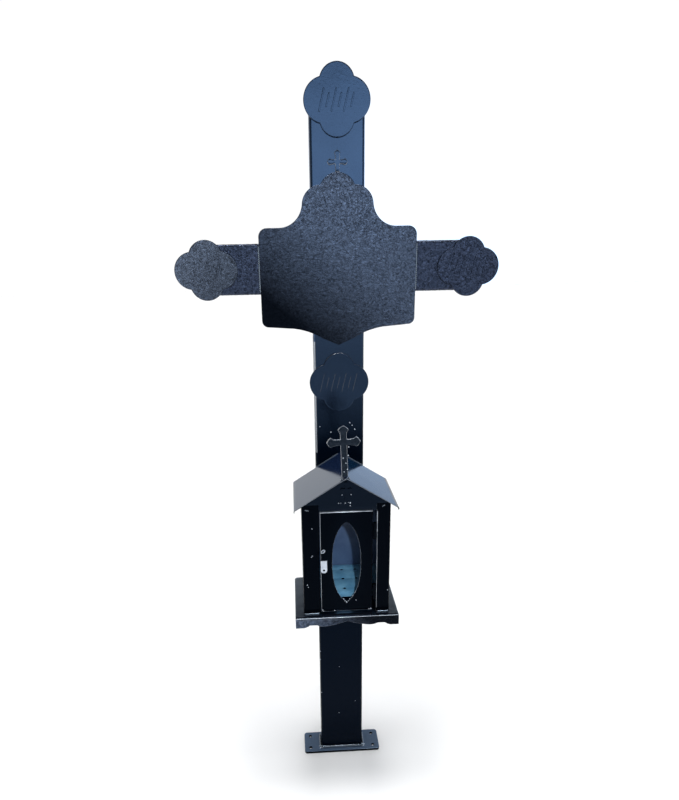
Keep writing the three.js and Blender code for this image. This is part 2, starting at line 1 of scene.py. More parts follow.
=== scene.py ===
# %% [markdown]
# # A painted grave cross with a candle lantern
# The cross is made of rectangular steel tube, with cut plates over its ends and over the crossing, and it
# stands on a bolted foot plate. A small sheet-metal house on the front of the post holds a grave candle.
# Everything is painted in black gloss enamel that reflects the pale sky high up and stays nearly black lower
# down. The frame comes first: the imported model gives the places of all the pieces.

# %% Frame
import bpy
import bmesh
import math
import numpy as np
from mathutils import Vector, Matrix, noise
from mathutils.geometry import delaunay_2d_cdt


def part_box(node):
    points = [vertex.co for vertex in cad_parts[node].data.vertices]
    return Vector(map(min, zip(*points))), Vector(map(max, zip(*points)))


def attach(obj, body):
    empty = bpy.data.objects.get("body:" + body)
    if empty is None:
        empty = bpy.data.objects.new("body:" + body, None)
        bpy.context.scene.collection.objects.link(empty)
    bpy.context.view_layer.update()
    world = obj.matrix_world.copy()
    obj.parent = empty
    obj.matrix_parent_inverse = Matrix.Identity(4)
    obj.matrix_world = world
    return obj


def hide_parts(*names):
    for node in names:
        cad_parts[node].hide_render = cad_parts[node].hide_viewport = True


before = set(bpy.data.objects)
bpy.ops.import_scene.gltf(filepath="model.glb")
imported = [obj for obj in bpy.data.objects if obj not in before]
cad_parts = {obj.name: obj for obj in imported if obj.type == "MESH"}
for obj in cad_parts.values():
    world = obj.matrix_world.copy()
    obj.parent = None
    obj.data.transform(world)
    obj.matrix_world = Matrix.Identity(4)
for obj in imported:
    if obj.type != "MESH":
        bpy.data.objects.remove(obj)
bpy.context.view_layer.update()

# %% [markdown]
# ## Helpers: from outlines to sheet metal
# Most of the pieces are cut from plate or folded from sheet, so they are drawn as outlines in millimetres and
# given a thickness. A laser or plasma cutter leaves a crisp edge, and paint then rounds it by about a
# millimetre. That round edge matters a lot in the picture, because it catches a thin bright line of light.
# The front face gets a dense grid of points, so that small dents can be real relief rather than a trick of
# shading.

# %% Outlines
MM = 0.001


def corner_box(node):
    """Lowest and highest corner of a CAD node in millimetres."""
    low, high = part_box(node)
    return [c / MM for c in low], [c / MM for c in high]


def arc(cx, cz, radius, start, end, step=2.4):
    """Points on an arc, angles in radians, about one point for every step of length."""
    count = max(3, math.ceil(abs(end - start) * radius / step))
    angles = [start + (end - start) * i / count for i in range(count + 1)]
    return [(cx + radius * math.cos(t), cz + radius * math.sin(t)) for t in angles]


def tidy(points, gap=0.15):
    """Drops points that lie on the one before."""
    kept = []
    for p in points:
        if not kept or math.dist(p, kept[-1]) > gap:
            kept.append(tuple(p))
    if math.dist(kept[0], kept[-1]) < gap:
        kept.pop()
    return kept


def divided(points, step):
    """The same closed outline with extra points on its long straight runs."""
    out = []
    for i, p in enumerate(points):
        q = points[(i + 1) % len(points)]
        count = max(1, round(math.dist(p, q) / step))
        out += [(p[0] + (q[0] - p[0]) * k / count, p[1] + (q[1] - p[1]) * k / count) for k in range(count)]
    return out


# %% [markdown]
# A rounded edge needs the same outline again, a little smaller. Each point moves along the mitre of its two
# sides, so that quads can join the two outlines point by point. Plates and holes start from a rounded
# rectangle and a circle.

# %% Insets and plain shapes
def inset(points, distance):
    """Moves a closed outline to its left: inwards if it runs anticlockwise."""
    moved = []
    for i, point in enumerate(points):
        before = Vector(points[i - 1])
        here = Vector(point)
        after = Vector(points[(i + 1) % len(points)])
        one = (here - before).normalized()
        two = (after - here).normalized()
        left_one = Vector((-one.y, one.x))
        left_two = Vector((-two.y, two.x))
        mitre = (left_one + left_two) / max(0.5, 1 + left_one.dot(left_two))
        moved.append(tuple(here + mitre * distance))
    return moved


def rounded_rectangle(x0, x1, z0, z1, radius, step=1.2):
    """A rectangle with four round corners. It runs anticlockwise."""
    quarter = math.pi / 2
    return tidy(
        arc(x1 - radius, z1 - radius, radius, 0, quarter, step)
        + arc(x0 + radius, z1 - radius, radius, quarter, 2 * quarter, step)
        + arc(x0 + radius, z0 + radius, radius, 2 * quarter, 3 * quarter, step)
        + arc(x1 - radius, z0 + radius, radius, 3 * quarter, 4 * quarter, step)
    )


def circle(cx, cz, radius, count):
    """A hole: it runs clockwise, so that its left side is the metal."""
    angles = [-math.tau * i / count for i in range(count)]
    return [(cx + radius * math.cos(t), cz + radius * math.sin(t)) for t in angles]


# %% [markdown]
# Every outline is drawn flat, with u to the right and v up, and a plane says how it stands in the scene. A
# rim's profile is a list of steps from the back of a plate to its front: each says how far it lies inside the
# outline and how deep it lies. Three steps are enough for a rounded edge of about a millimetre.

# %% Planes and rims
def facing(u, v, w):
    """A plate that faces the front: u right, v up, w depth."""
    return (u, w, v)


def lying(u, v, w):
    """A plate that lies flat: u right, v back, w height."""
    return (u, v, w)


def standing(u, v, w):
    """A plate that faces sideways: u back, v up, w right."""
    return (w, u, v)


def rim(front, back, edge, steps=3):
    """Profile of a plate with both of its edges rounded."""
    way = 1 if back > front else -1
    quarter = [math.pi / 2 * k / steps for k in range(steps + 1)]
    behind = [(edge * (1 - math.sin(t)), back - way * edge * (1 - math.cos(t))) for t in quarter]
    before = [(edge * (1 - math.cos(t)), front + way * edge * (1 - math.sin(t))) for t in quarter]
    return behind + before


# %% [markdown]
# A face needs points between its outlines. A triangular grid gives even triangles, and points too near an
# edge are left out, because they would make slivers. The sums are done with numpy for all points at once, so
# a dense grid stays quick.

# %% Grids
EVEN_ROW = 0.866  # height of a triangle with sides of 1


def inside(points, loops):
    """For each point, whether it lies within the first loop and outside the others."""
    crossings = np.zeros(len(points), int)
    for loop in loops:
        for p, q in zip(loop, loop[1:] + loop[:1]):
            if p[1] != q[1]:
                spans = (p[1] > points[:, 1]) != (q[1] > points[:, 1])
                at = (q[0] - p[0]) * (points[:, 1] - p[1]) / (q[1] - p[1]) + p[0]
                crossings += spans & (points[:, 0] < at)
    return crossings % 2 == 1


def distance_to(points, loops):
    """How far each point is from the nearest loop."""
    away = np.full(len(points), 1e9)
    for loop in loops:
        for p, q in zip(np.array(loop), np.array(loop[1:] + loop[:1])):
            run = q - p
            t = np.clip(((points - p) @ run) / max(1e-9, run @ run), 0, 1)
            away = np.minimum(away, np.hypot(*(points - p - t[:, None] * run).T))
    return away


def grid_inside(loops, spacing):
    """Points of a triangular grid between the loops, and how far each is from an edge."""
    low, high = np.array(loops[0]).min(0), np.array(loops[0]).max(0)
    rows = []
    for j, v in enumerate(np.arange(low[1] + spacing * 0.5, high[1], spacing * EVEN_ROW)):
        us = np.arange(low[0] + spacing * (0.5 if j % 2 else 0.0), high[0], spacing)
        rows.append(np.stack([us, np.full_like(us, v)], 1))
    points = np.concatenate(rows)
    points = points[inside(points, loops)]
    away = distance_to(points, loops)
    return points[away > spacing * 0.55], away[away > spacing * 0.55]


# %% [markdown]
# A slab is one plate: a rim that goes round every outline, and a face on each side. A solidify modifier would
# be quicker to set up, but it can't round the rim or leave the holes' edges crisper than the outer one. The
# faces are filled by a constrained triangulation, which keeps the rim's points. Relief only ever sinks the
# front face, and it fades out at the edges, so no plate grows beyond its size in the model.

# %% Slabs
FADE = 6.0  # the relief is whole this far from an edge, in millimetres


def slab(outline, profile, plane=facing, holes=(), hole_profile=None, spacing=None, relief=None):
    """One closed plate as (vertices, faces). relief(u, v) is how far the front face sinks at a point."""
    verts, faces, backs, fronts = [], [], [], []
    for index, loop in enumerate([outline, *holes]):
        steps = profile if index == 0 or hole_profile is None else hole_profile
        drawn, rings = [], []
        for distance, depth in steps:
            drawn.append(inset(loop, distance) if distance else loop)
            rings.append(range(len(verts), len(verts) + len(loop)))
            verts += [plane(u, v, depth) for u, v in drawn[-1]]
        for one, two in zip(rings, rings[1:]):
            n = len(one)
            faces += [(one[i], one[(i + 1) % n], two[(i + 1) % n], two[i]) for i in range(n)]
        backs.append((drawn[0], rings[0]))
        fronts.append((drawn[-1], rings[-1]))
    way = 1 if profile[0][1] > profile[-1][1] else -1
    for ends, depth, dense in ((backs, profile[0][1], None), (fronts, profile[-1][1], spacing)):
        flat = [p for loop, _ in ends for p in loop]
        owner = [i for _, ring in ends for i in ring]
        edges, start = [], 0
        for loop, _ in ends:
            edges += [(start + i, start + (i + 1) % len(loop)) for i in range(len(loop))]
            start += len(loop)
        if dense:
            inner, away = grid_inside([loop for loop, _ in ends], dense)
            for (u, v), d in zip(inner, away):
                sink = relief(u, v) * min(1.0, d / FADE) if relief else 0.0
                owner.append(len(verts))
                verts.append(plane(u, v, depth + way * sink))
                flat.append((u, v))
        found = delaunay_2d_cdt([Vector(p) for p in flat], edges, [], 0, 1e-5)
        corners = np.array([tuple(p) for p in found[0]])
        names = [owner[origins[0]] for origins in found[3]]
        middles = corners[np.array(found[2])].mean(1)
        kept = inside(middles, [loop for loop, _ in ends])
        faces += [tuple(names[i] for i in face) for face, keep in zip(found[2], kept) if keep]
    return verts, faces


# %% [markdown]
# A bar is a closed section that runs straight along one axis: the tubes, and the folded sheets of the
# lantern. The mill or the bending brake gives the real ones the same section all the way. Rings of points
# along the bar let the sides sink a little here and there, as rolled steel under thick paint does.

# %% Bars
def bar(section, start, stop, step, place, dent=None):
    """A closed section (anticlockwise) that runs from start to stop. place(u, v, w) turns it into x, y, z."""
    count = max(1, round((stop - start) / step))
    verts, faces = [], []
    inner = inset(section, 1)
    n = len(section)
    for k in range(count + 1):
        w = start + (stop - start) * k / count
        for p, q in zip(section, inner):
            sink = dent(p[0], p[1], w) if dent else 0
            verts.append(place(p[0] + (q[0] - p[0]) * sink, p[1] + (q[1] - p[1]) * sink, w))
    for k in range(count):
        a, b = k * n, (k + 1) * n
        faces += [(a + i, a + (i + 1) % n, b + (i + 1) % n, b + i) for i in range(n)]
    flat = [Vector(p) for p in section]
    edges = [(i, (i + 1) % n) for i in range(n)]
    cap = delaunay_2d_cdt(flat, edges, [], 1, 1e-5)
    names = [origins[0] for origins in cap[3]]
    faces += [tuple(names[i] for i in face) for face in cap[2]]
    faces += [tuple(names[i] + count * n for i in face) for face in cap[2]]
    return verts, faces


def along_z(u, v, w):
    """A bar that stands upright."""
    return (u, v, w)


def along_x(u, v, w):
    """A bar that runs to the right."""
    return (w, u, v)


def along_y(u, v, w):
    """A bar that runs to the back."""
    return (u, w, v)


# %% [markdown]
# A bead is a round line that follows a path, for welds and wire. Weld metal solidifies in little waves, so a
# bead swells and shrinks a little on its way. A curve object with a bevel would be as round, but it can't
# ripple.

# %% Beads
def bead(path, radius, closed=False, ripple=0.0, pitch=4.0, sides=10):
    """A round line along a path. With a ripple its radius swells once for every pitch of length."""
    points = [Vector(p) for p in path]
    verts, faces, run = [], [], 0.0
    n = len(points)
    for i, here in enumerate(points):
        before = points[i - 1] if closed or i else here
        after = points[(i + 1) % n] if closed or i < n - 1 else here
        tangent = (after - before).normalized()
        side = tangent.cross(Vector((0, 0, 1)) if abs(tangent.z) < 0.9 else Vector((0, 1, 0))).normalized()
        up = side.cross(tangent)
        run += (here - before).length if i else 0.0
        r = radius * (1 + ripple * math.sin(math.tau * run / pitch) + 0.5 * ripple * noise.noise(here / (3 * radius)))
        if not closed:
            r *= min(1.0, 0.45 + 0.55 * min(i, n - 1 - i))
        for k in range(sides):
            t = math.tau * k / sides
            verts.append(tuple(here + (side * math.cos(t) + up * math.sin(t)) * r))
    for i in range(n if closed else n - 1):
        a, b = i * sides, ((i + 1) % n) * sides
        faces += [(a + k, a + (k + 1) % sides, b + (k + 1) % sides, b + k) for k in range(sides)]
    if not closed:
        faces += [tuple(range(sides)), tuple(range((n - 1) * sides, n * sides))]
    return verts, faces


def line(a, b, step=1.0):
    """Points on a straight path."""
    a, b = Vector(a), Vector(b)
    count = max(2, round((b - a).length / step))
    return [a.lerp(b, i / count) for i in range(count + 1)]


# %% [markdown]
# Every part ends as one mesh object. Its faces are smooth up to a fold of 42 degrees, so a round corner
# shines in one sweep while a cut edge stays crisp. The pieces of the model that the object stands for are then
# hidden, the object gets its paint, and it is hung on an empty for the body that it rides on. Single faces can
# get a paint of their own: a brighter paint on a sheet's edge is a painted highlight, and a second object for
# it would leave a seam.

# %% From mesh to piece
SMOOTH_ANGLE = math.radians(42)
EDGE_DEPTH = 2.6  # how far back from a plate's front its edge paint reaches, in millimetres


def paint_faces(mesh, material, chosen):
    """Gives one more material to the mesh and puts it on the faces that chosen picks."""
    mesh.materials.append(material)
    for face in mesh.polygons:
        if chosen(face):
            face.material_index = len(mesh.materials) - 1


def make(name, parts, material, body="cross", stands_for=(), edge=None):
    """Turns one or more (vertices, faces) parts into one object that rides on a body.

    An edge material goes on the narrow faces round the front.
    """
    verts, faces = [], []
    for part_verts, part_faces in parts:
        base = len(verts)
        verts += [(x * MM, y * MM, z * MM) for x, y, z in part_verts]
        faces += [tuple(base + i for i in face) for face in part_faces]
    mesh = bpy.data.meshes.new(name)
    mesh.from_pydata(verts, [], faces)
    shape = bmesh.new()
    shape.from_mesh(mesh)
    bmesh.ops.recalc_face_normals(shape, faces=shape.faces)
    shape.to_mesh(mesh)
    shape.free()
    mesh.polygons.foreach_set("use_smooth", [True] * len(mesh.polygons))
    mesh.set_sharp_from_angle(angle=SMOOTH_ANGLE)
    mesh.materials.append(material)
    if edge:
        rim_y = min(v[1] for v in verts) + EDGE_DEPTH * MM
        paint_faces(mesh, edge, lambda face: face.normal.y > -0.93 and face.center.y < rim_y)
    piece = bpy.data.objects.new(name, mesh)
    bpy.context.scene.collection.objects.link(piece)
    if stands_for:
        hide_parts(*stands_for)
    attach(piece, body)
    triangles = sum(len(p.vertices) - 2 for p in mesh.polygons)
    print(f"{name}: {triangles} triangles")
    return piece


# %% [markdown]
# ## The paint
# Gloss enamel over steel is almost black by itself. What colours it is what it mirrors: its blue-grey tone
# comes from the sky, so its mirror strength is set here by height, as a painted reflection: strong high up,
# where it stands for a bright sky, and weak low down, where it stands for dark ground. The texture is orange
# peel, the fine ripple that thick paint leaves over rough steel, and it is strongest on the large plates.

# %% Nodes for paint
def ramp_over(tree, source, start, stop, low_value, high_value):
    """An even change from one value to another while the source runs from start to stop."""
    change = tree.nodes.new("ShaderNodeMapRange")
    change.inputs["From Min"].default_value = start
    change.inputs["From Max"].default_value = stop
    change.inputs["To Min"].default_value = low_value
    change.inputs["To Max"].default_value = high_value
    tree.links.new(source, change.inputs["Value"])
    return change.outputs["Result"]


def multiplied(tree, one, two):
    """The product of two values."""
    product = tree.nodes.new("ShaderNodeMath")
    product.operation = "MULTIPLY"
    tree.links.new(one, product.inputs[0])
    tree.links.new(two, product.inputs[1])
    return product.outputs[0]


def cloud(tree, place, scale, detail, distortion=0.0):
    """Noise that is fixed to the object."""
    noisy = tree.nodes.new("ShaderNodeTexNoise")
    noisy.inputs["Scale"].default_value = scale
    noisy.inputs["Detail"].default_value = detail
    noisy.inputs["Distortion"].default_value = distortion
    tree.links.new(place, noisy.inputs["Vector"])
    return noisy.outputs["Fac"]


def new_material(name):
    """A material, its tree, its surface shader and its place on the object."""
    material = bpy.data.materials.new(name)
    material.use_nodes = True
    tree = material.node_tree
    return material, tree, tree.nodes["Principled BSDF"], tree.nodes.new("ShaderNodeTexCoord").outputs["Object"]


# %% [markdown]
# The enamel's own colour stays nearly black, and all the rest is in how it mirrors. A high index of
# refraction stands for thick gloss paint. Where the mirror strength changes with height, or from speck to
# speck, it comes from nodes; where it is the same all over, it stands on the shader's own socket, because a
# model that leaves Blender keeps that best. One noise drives both the specks and the bump, so every bright
# speck sits on a ripple that can be seen.

# %% Enamel
PAINT_IOR = 1.8


def mirror_strength(tree, place, fine, gloss, rise, slant, speckle):
    """Runs from one gloss to the other over the heights of rise, broken up into specks."""
    axes = tree.nodes.new("ShaderNodeSeparateXYZ")
    tree.links.new(place, axes.inputs[0])
    leaning = tree.nodes.new("ShaderNodeMath")
    leaning.operation = "MULTIPLY_ADD"
    leaning.inputs[1].default_value = slant
    tree.links.new(axes.outputs["X"], leaning.inputs[0])
    tree.links.new(axes.outputs["Z"], leaning.inputs[2])
    by_height = ramp_over(tree, leaning.outputs[0], *rise, *gloss)
    return multiplied(tree, by_height, ramp_over(tree, fine, 0.35, 0.65, 1.0 - speckle, 1.0 + speckle))


def enamel(name, tone, gloss, roughness, grain, tint, rise=(0.9, 1.45), slant=0.0, coat=0.0, speckle=0.0):
    """Gloss paint of one tone, with the tint of what it mirrors.

    Its mirror strength runs between the two values of gloss over the two heights of rise, in metres. With a
    slant, points further to the right count as higher. Speckle is how far the strength strays from that, grain is
    how deep the ripple is, and a coat adds a layer of clear gloss.
    """
    material, tree, surface, place = new_material(name)
    surface.inputs["Base Color"].default_value = (*tone, 1)
    surface.inputs["IOR"].default_value = PAINT_IOR
    surface.inputs["Specular Tint"].default_value = (*tint, 1)
    surface.inputs["Coat Weight"].default_value = coat
    surface.inputs["Coat Roughness"].default_value = 0.06
    surface.inputs["Specular IOR Level"].default_value = gloss[0]
    fine = cloud(tree, place, 200.0, 3.0, 1.2)
    if speckle or gloss[0] != gloss[1]:
        strength = mirror_strength(tree, place, fine, gloss, rise, slant, speckle)
        tree.links.new(strength, surface.inputs["Specular IOR Level"])
    dull = ramp_over(tree, cloud(tree, place, 9.0, 4.0), 0.3, 0.7, roughness * 0.75, roughness * 1.35)
    tree.links.new(dull, surface.inputs["Roughness"])
    bump = tree.nodes.new("ShaderNodeBump")
    bump.inputs["Strength"].default_value = grain
    bump.inputs["Distance"].default_value = 0.0016
    tree.links.new(fine, bump.inputs["Height"])
    tree.links.new(bump.outputs["Normal"], surface.inputs["Normal"])
    return material


# %% [markdown]
# It is one paint on the real cross, but each piece mirrors another part of the sky or the ground. So each
# gets its own mirror strength and tint, a painted reflection: the plates high up are pale blue and grainy, the
# lantern's upright walls are almost black, welds are bright, because paint gathers on them and rounds them,
# and edges and corners get paler, glossier paints, which are painted highlights.

# %% Paints of the cross
NAVY = (0.0012, 0.0020, 0.0040)
BLACK = (0.0004, 0.0007, 0.0014)
DEEP = (0.0003, 0.0020, 0.0060)
SKY_BLUE = (0.32, 0.55, 1.0)
PALE_BLUE = (0.50, 0.66, 1.0)
GREY_BLUE = (0.6, 0.78, 1.0)
MILKY = (0.85, 0.92, 1.0)

# Where a paint's mirror strength runs with height or across a plate, that is a painted reflection: on the shield it
# grows from the lower left to the upper right, on the left plate towards its outer end, on the tube paint upwards.
shield_paint = enamel(
    "hammered enamel", NAVY, (0.02, 0.58), 0.22, 0.9, PALE_BLUE, (1.17, 1.41), 0.85, speckle=0.55
)
plate_paint = enamel("arm enamel", NAVY, (0.36, 0.36), 0.24, 0.8, (0.46, 0.60, 1.0), speckle=0.6)
left_paint = enamel(
    "left plate enamel", NAVY, (0.50, 0.76), 0.22, 0.8, (0.58, 0.72, 1.0), (1.91, 2.09), -2.0, speckle=0.5
)
tube_paint = enamel("tube enamel", DEEP, (0.03, 0.44), 0.2, 0.12, SKY_BLUE, (0.95, 1.24))
lower_paint = enamel("lower plate enamel", DEEP, (0.31, 0.31), 0.2, 0.12, SKY_BLUE)
# The next two paints are paler, glossier copies of the enamel: painted highlights, one for the post's lit corner and
# the lower plate's rims, one for the sheets' edges.
highlight_paint = enamel("painted highlight enamel", (0.03, 0.035, 0.045), (0.9, 0.9), 0.15, 0.03, MILKY)
edge_highlight_paint = enamel("painted edge highlight enamel", (0.10, 0.115, 0.14), (1.0, 1.0), 0.12, 0.03, MILKY, coat=1.0)
weld_paint = enamel("weld enamel", NAVY, (0.9, 0.9), 0.12, 0.2, GREY_BLUE, coat=1.0)
# The foot's paint is a pale blue-grey: a painted reflection of the sky.
foot_reflection_paint = enamel("foot enamel with painted reflection", (0.066, 0.100, 0.158), (0.5, 0.5), 0.2, 0.3, GREY_BLUE, speckle=0.3)
cross_paint = enamel("small cross enamel", NAVY, (0.16, 0.18), 0.2, 0.5, (0.5, 0.7, 1.0), speckle=0.3)
print("paints of the cross:", len(bpy.data.materials))

# %% [markdown]
# The lantern's roof slopes towards the sky. Its two sides get a strong and a weak copy of one paint, a painted
# reflection that stands for the palest part of the sky on the left. The apron has thick drips on its left and
# grows smooth towards its right, and its mirror strength falls from left to right, a painted sheen that is bright
# on the left and dark on the right.

# %% Paints of the lantern
lantern_paint = enamel("lantern enamel", BLACK, (0.02, 0.02), 0.14, 0.05, SKY_BLUE)
gable_paint = enamel("gable enamel", BLACK, (0.09, 0.09), 0.14, 0.05, SKY_BLUE)
# The roof's slopes get a strong and a weak copy of one paint, a painted reflection, and the apron's mirror strength
# falls from its left to its right, a painted sheen.
roof_paint = enamel("roof enamel", (0.006, 0.013, 0.038), (0.78, 0.78), 0.12, 0.05, (0.78, 0.90, 1.0))
roof_right_paint = enamel("right roof enamel", (0.003, 0.014, 0.036), (0.08, 0.08), 0.12, 0.05, SKY_BLUE)
apron_paint = enamel("apron enamel", NAVY, (0.75, 0.03), 0.12, 0.6, PALE_BLUE, (0.50, 0.60), 0.55, speckle=0.6)
shelf_paint = enamel("shelf enamel", (0.002, 0.003, 0.006), (0.7, 0.7), 0.10, 0.05, GREY_BLUE)
print("with the lantern's:", len(bpy.data.materials))

# %% [markdown]
# The tray and the back wall inside the lantern show through the window as pale blue-grey: they are covered
# with the same enamel, but dusty and lit from the front. The latch's tab is bare zinc, rolled and slightly
# scratched, and a few edges of the lantern get a bright grey-blue paint, a painted highlight for thin lines of
# light. Dull surfaces like these need no mirror, only a tone that wanders.

# %% Inside and zinc
def plain_finish(name, tone, other, roughness, metallic, scale):
    """A surface whose tone and roughness wander a little between two values."""
    material, tree, surface, place = new_material(name)
    surface.inputs["Metallic"].default_value = metallic
    patches = cloud(tree, place, scale, 5.0)
    ramp = tree.nodes.new("ShaderNodeValToRGB")
    for element, position, colour in zip(ramp.color_ramp.elements, (0.35, 0.65), (tone, other)):
        element.position = position
        element.color = (*colour, 1)
    tree.links.new(patches, ramp.inputs["Fac"])
    tree.links.new(ramp.outputs["Color"], surface.inputs["Base Color"])
    rough = ramp_over(tree, patches, 0.0, 1.0, roughness * 0.7, roughness * 1.3)
    tree.links.new(rough, surface.inputs["Roughness"])
    return material


# The first finish is a bright grey-blue: a painted highlight for thin lines along a few edges of the lantern.
highlight_line_paint = plain_finish("painted highlight line", (0.34, 0.38, 0.43), (0.62, 0.66, 0.72), 0.35, 0.6, 60)
inside_paint = plain_finish("inside paint", (0.10, 0.27, 0.43), (0.17, 0.38, 0.55), 0.45, 0.0, 40)
wall_paint = plain_finish("inside wall paint", (0.040, 0.070, 0.150), (0.060, 0.100, 0.190), 0.5, 0.0, 25)
zinc = plain_finish("zinc", (0.42, 0.47, 0.55), (0.58, 0.63, 0.70), 0.3, 1.0, 60)
print("with bare and dusty finishes:", len(bpy.data.materials))

# %% [markdown]
# ## Foot plate
# A piece of flat bar with four drilled holes. The post stands in its middle and is welded all round. The bead
# is fat and glossy, with a lump at each corner, where the welder stopped and started again. The bar's top gets a
# pale blue-grey paint, a painted reflection of the sky, and its sides get the dark paint, painted shade for the
# dark ground that they mirror.

# %% Foot
FOOT_THICK = 8
SEAM_X, SEAM_Y = 62.6, 22.6  # half the size of the weld's path round the post

low, high = corner_box("foot_plate")
foot_outline = divided(rounded_rectangle(low[0], high[0], low[1], high[1], 8), 12)
hole_x, hole_y = high[0] - 18, high[1] - 14
foot_holes = [circle(x, y, 4.5, 20) for x in (-hole_x, hole_x) for y in (-hole_y, hole_y)]


def peel(amount, scale):
    """Relief of rough paint: never above the true face, up to amount below it."""
    def at(u, v):
        wide = noise.noise(Vector((u / scale, v / scale, 3.1)))
        fine = noise.noise(Vector((u / scale * 2.3, v / scale * 2.3, 7.7)))
        return amount * (0.5 + 0.33 * wide + 0.17 * fine)
    return at


foot_rim, hole_rim = rim(FOOT_THICK, 0, 1.2), rim(FOOT_THICK, 0, 0.6)
foot = slab(foot_outline, foot_rim, lying, foot_holes, hole_rim, 3.0, peel(0.35, 6))
# The foot's top gets the pale blue-grey paint, a painted reflection of the sky, and its sides the dark lantern paint,
# painted shade.
foot_piece = make("foot_bar", [foot], foot_reflection_paint, stands_for=["foot_plate"])
paint_faces(foot_piece.data, lantern_paint, lambda face: face.normal.z < 0.3)

seam_path = divided(rounded_rectangle(-SEAM_X, SEAM_X, -SEAM_Y, SEAM_Y, 9), 1.0)
foot_bead = bead([(x, y, 11.0) for x, y in seam_path], 3.9, closed=True, ripple=0.07, pitch=5.5, sides=12)
lumps = [
    bead(line((62 * sx, 21 * sy, 10.5), (56 * sx, 22.4 * sy, 11.2), 1.0), 4.4, ripple=0.05)
    for sx in (-1, 1) for sy in (-1, 1)
]
make("foot_bead", [foot_bead, *lumps], weld_paint, stands_for=["foot_weld"])

# %% [markdown]
# ## Tubes
# The post and the arms are stock rectangular tube, 120 by 40 mm and 112 by 40 mm, with a wall of 3 mm. Such
# tube has round corners, and these show as long bright strips. The arms butt against the post's narrow sides.
# A rounded rectangle, run along the tube's axis, gives the corners one even curve.

# %% Tubes
def tube_dent(depth, scale):
    """Shallow waves of rolled steel and thick paint, as deep as depth at most."""
    def at(u, v, w):
        place = Vector((u / scale, v / scale, w / scale))
        return depth * (0.5 + 0.5 * noise.noise(place))
    return at


TUBE_ROUND = 7  # radius of the tubes' corners
SHINE_LOW, SHINE_HIGH = 0.93, 1.21  # the heights, in metres, between which the post's left corner shines

low, high = corner_box("post_tube")
post_section = divided(rounded_rectangle(low[0], high[0], low[1], high[1], TUBE_ROUND), 6)
post = bar(post_section, low[2], high[2], 6, along_z, tube_dent(0.3, 14))
post_piece = make("post", [post], tube_paint, stands_for=["post_tube"])


def on_shiny_corner(face):
    """The front left corner of the post, where it mirrors the bright strip."""
    turned = face.normal.x < -0.3 and -0.95 < face.normal.y < -0.1
    return turned and SHINE_LOW < face.center.z < SHINE_HIGH


# A band of the post's left corner gets the paler, glossier paint: a painted highlight.
paint_faces(post_piece.data, highlight_paint, on_shiny_corner)

for side in ("left", "right"):
    low, high = corner_box(f"arm_tube_{side}")
    section = divided(rounded_rectangle(low[1], high[1], low[2], high[2], TUBE_ROUND), 3)
    tube = bar(section, low[0], high[0], 3, along_x, tube_dent(0.9, 5))
    make(f"arm_{side}", [tube], plate_paint, stands_for=[f"arm_tube_{side}"])

# %% [markdown]
# ## Four-lobed plates
# Each end of the cross carries a plate of four round lobes, two wide and two narrow, and a fourth plate sits
# on the post below the crossing. They were cut from 4 mm plate and welded on the front. Arcs that stop where
# two circles meet give the sharp notches between the lobes.

# %% Lobed outlines
PLATE_BACK, PLATE_FRONT = -20.3, -24.3  # depths of the 4 mm plates, just in front of the tubes

# radius and offset of the side lobes, then of the upper and lower lobes
POST_PLATE = (45, 25.7, 37.5, 33.5)
ARM_PLATE = (41.5, 29.2, 37.8, 28.2)


def circles_meet(a, radius_a, b, radius_b):
    """Where two circles meet, on the side with the larger sum of coordinates."""
    a, b = Vector(a), Vector(b)
    apart = (b - a).length
    along = (apart * apart + radius_a**2 - radius_b**2) / (2 * apart)
    off = math.sqrt(radius_a**2 - along**2)
    unit = (b - a) / apart
    base = a + unit * along
    normal = Vector((-unit.y, unit.x))
    return max((base + normal * off, base - normal * off), key=lambda p: p.x + p.y)


def lobed(cx, cz, side_radius, side_offset, high_radius, high_offset):
    """Two lobes to the sides and two up and down, round a middle."""
    notch = circles_meet((side_offset, 0), side_radius, (0, high_offset), high_radius)
    side = math.atan2(notch.y, notch.x - side_offset)
    high = math.pi / 2 - math.atan2(notch.y - high_offset, notch.x)
    points = []
    for k in range(4):
        way = k * math.pi / 2
        spread, offset, radius = ((side, side_offset, side_radius), (high, high_offset, high_radius))[k % 2]
        x = cx + offset * math.cos(way)
        z = cz + offset * math.sin(way)
        points += arc(x, z, radius - 0.1, way - spread, way + spread)
    return tidy(points)


# %% [markdown]
# Raised marks run across the plates. Plain leaning strokes, long and short in turn, fill their place and say
# nothing. Each is a small slab of its own, set into the plate's face by a fraction of a millimetre, so no gap
# can show.

# %% Lobed plates
STROKE_BACK, STROKE_FRONT = -24.0, -25.2
STROKE_PITCH, STROKE_LEAN = 13, math.radians(-14)


def strokes(count, length, cx, cz):
    """Leaning strokes with round ends, long and short in turn."""
    parts = []
    turn = Matrix.Rotation(STROKE_LEAN, 2)
    profile = rim(STROKE_FRONT, STROKE_BACK, 0.5, 2)
    for i in range(count):
        tall = length if i % 2 == 0 else length * 0.62
        half = tall / 2 - 1.8
        pill = arc(0, half, 1.75, 0, math.pi, 0.9) + arc(0, -half, 1.75, math.pi, math.tau, 0.9)
        middle = Vector((cx + (i - (count - 1) / 2) * STROKE_PITCH, cz))
        parts.append(slab([tuple(turn @ Vector(p) + middle) for p in tidy(pill)], profile))
    return parts


def turned_to_light(face):
    """Upper rims, and the left flanks of the strokes."""
    on_stroke = face.center.y < (PLATE_FRONT - 0.2) * MM
    return (face.normal.z > 0.35 and face.normal.y > -0.9) or (on_stroke and face.normal.x < -0.3)


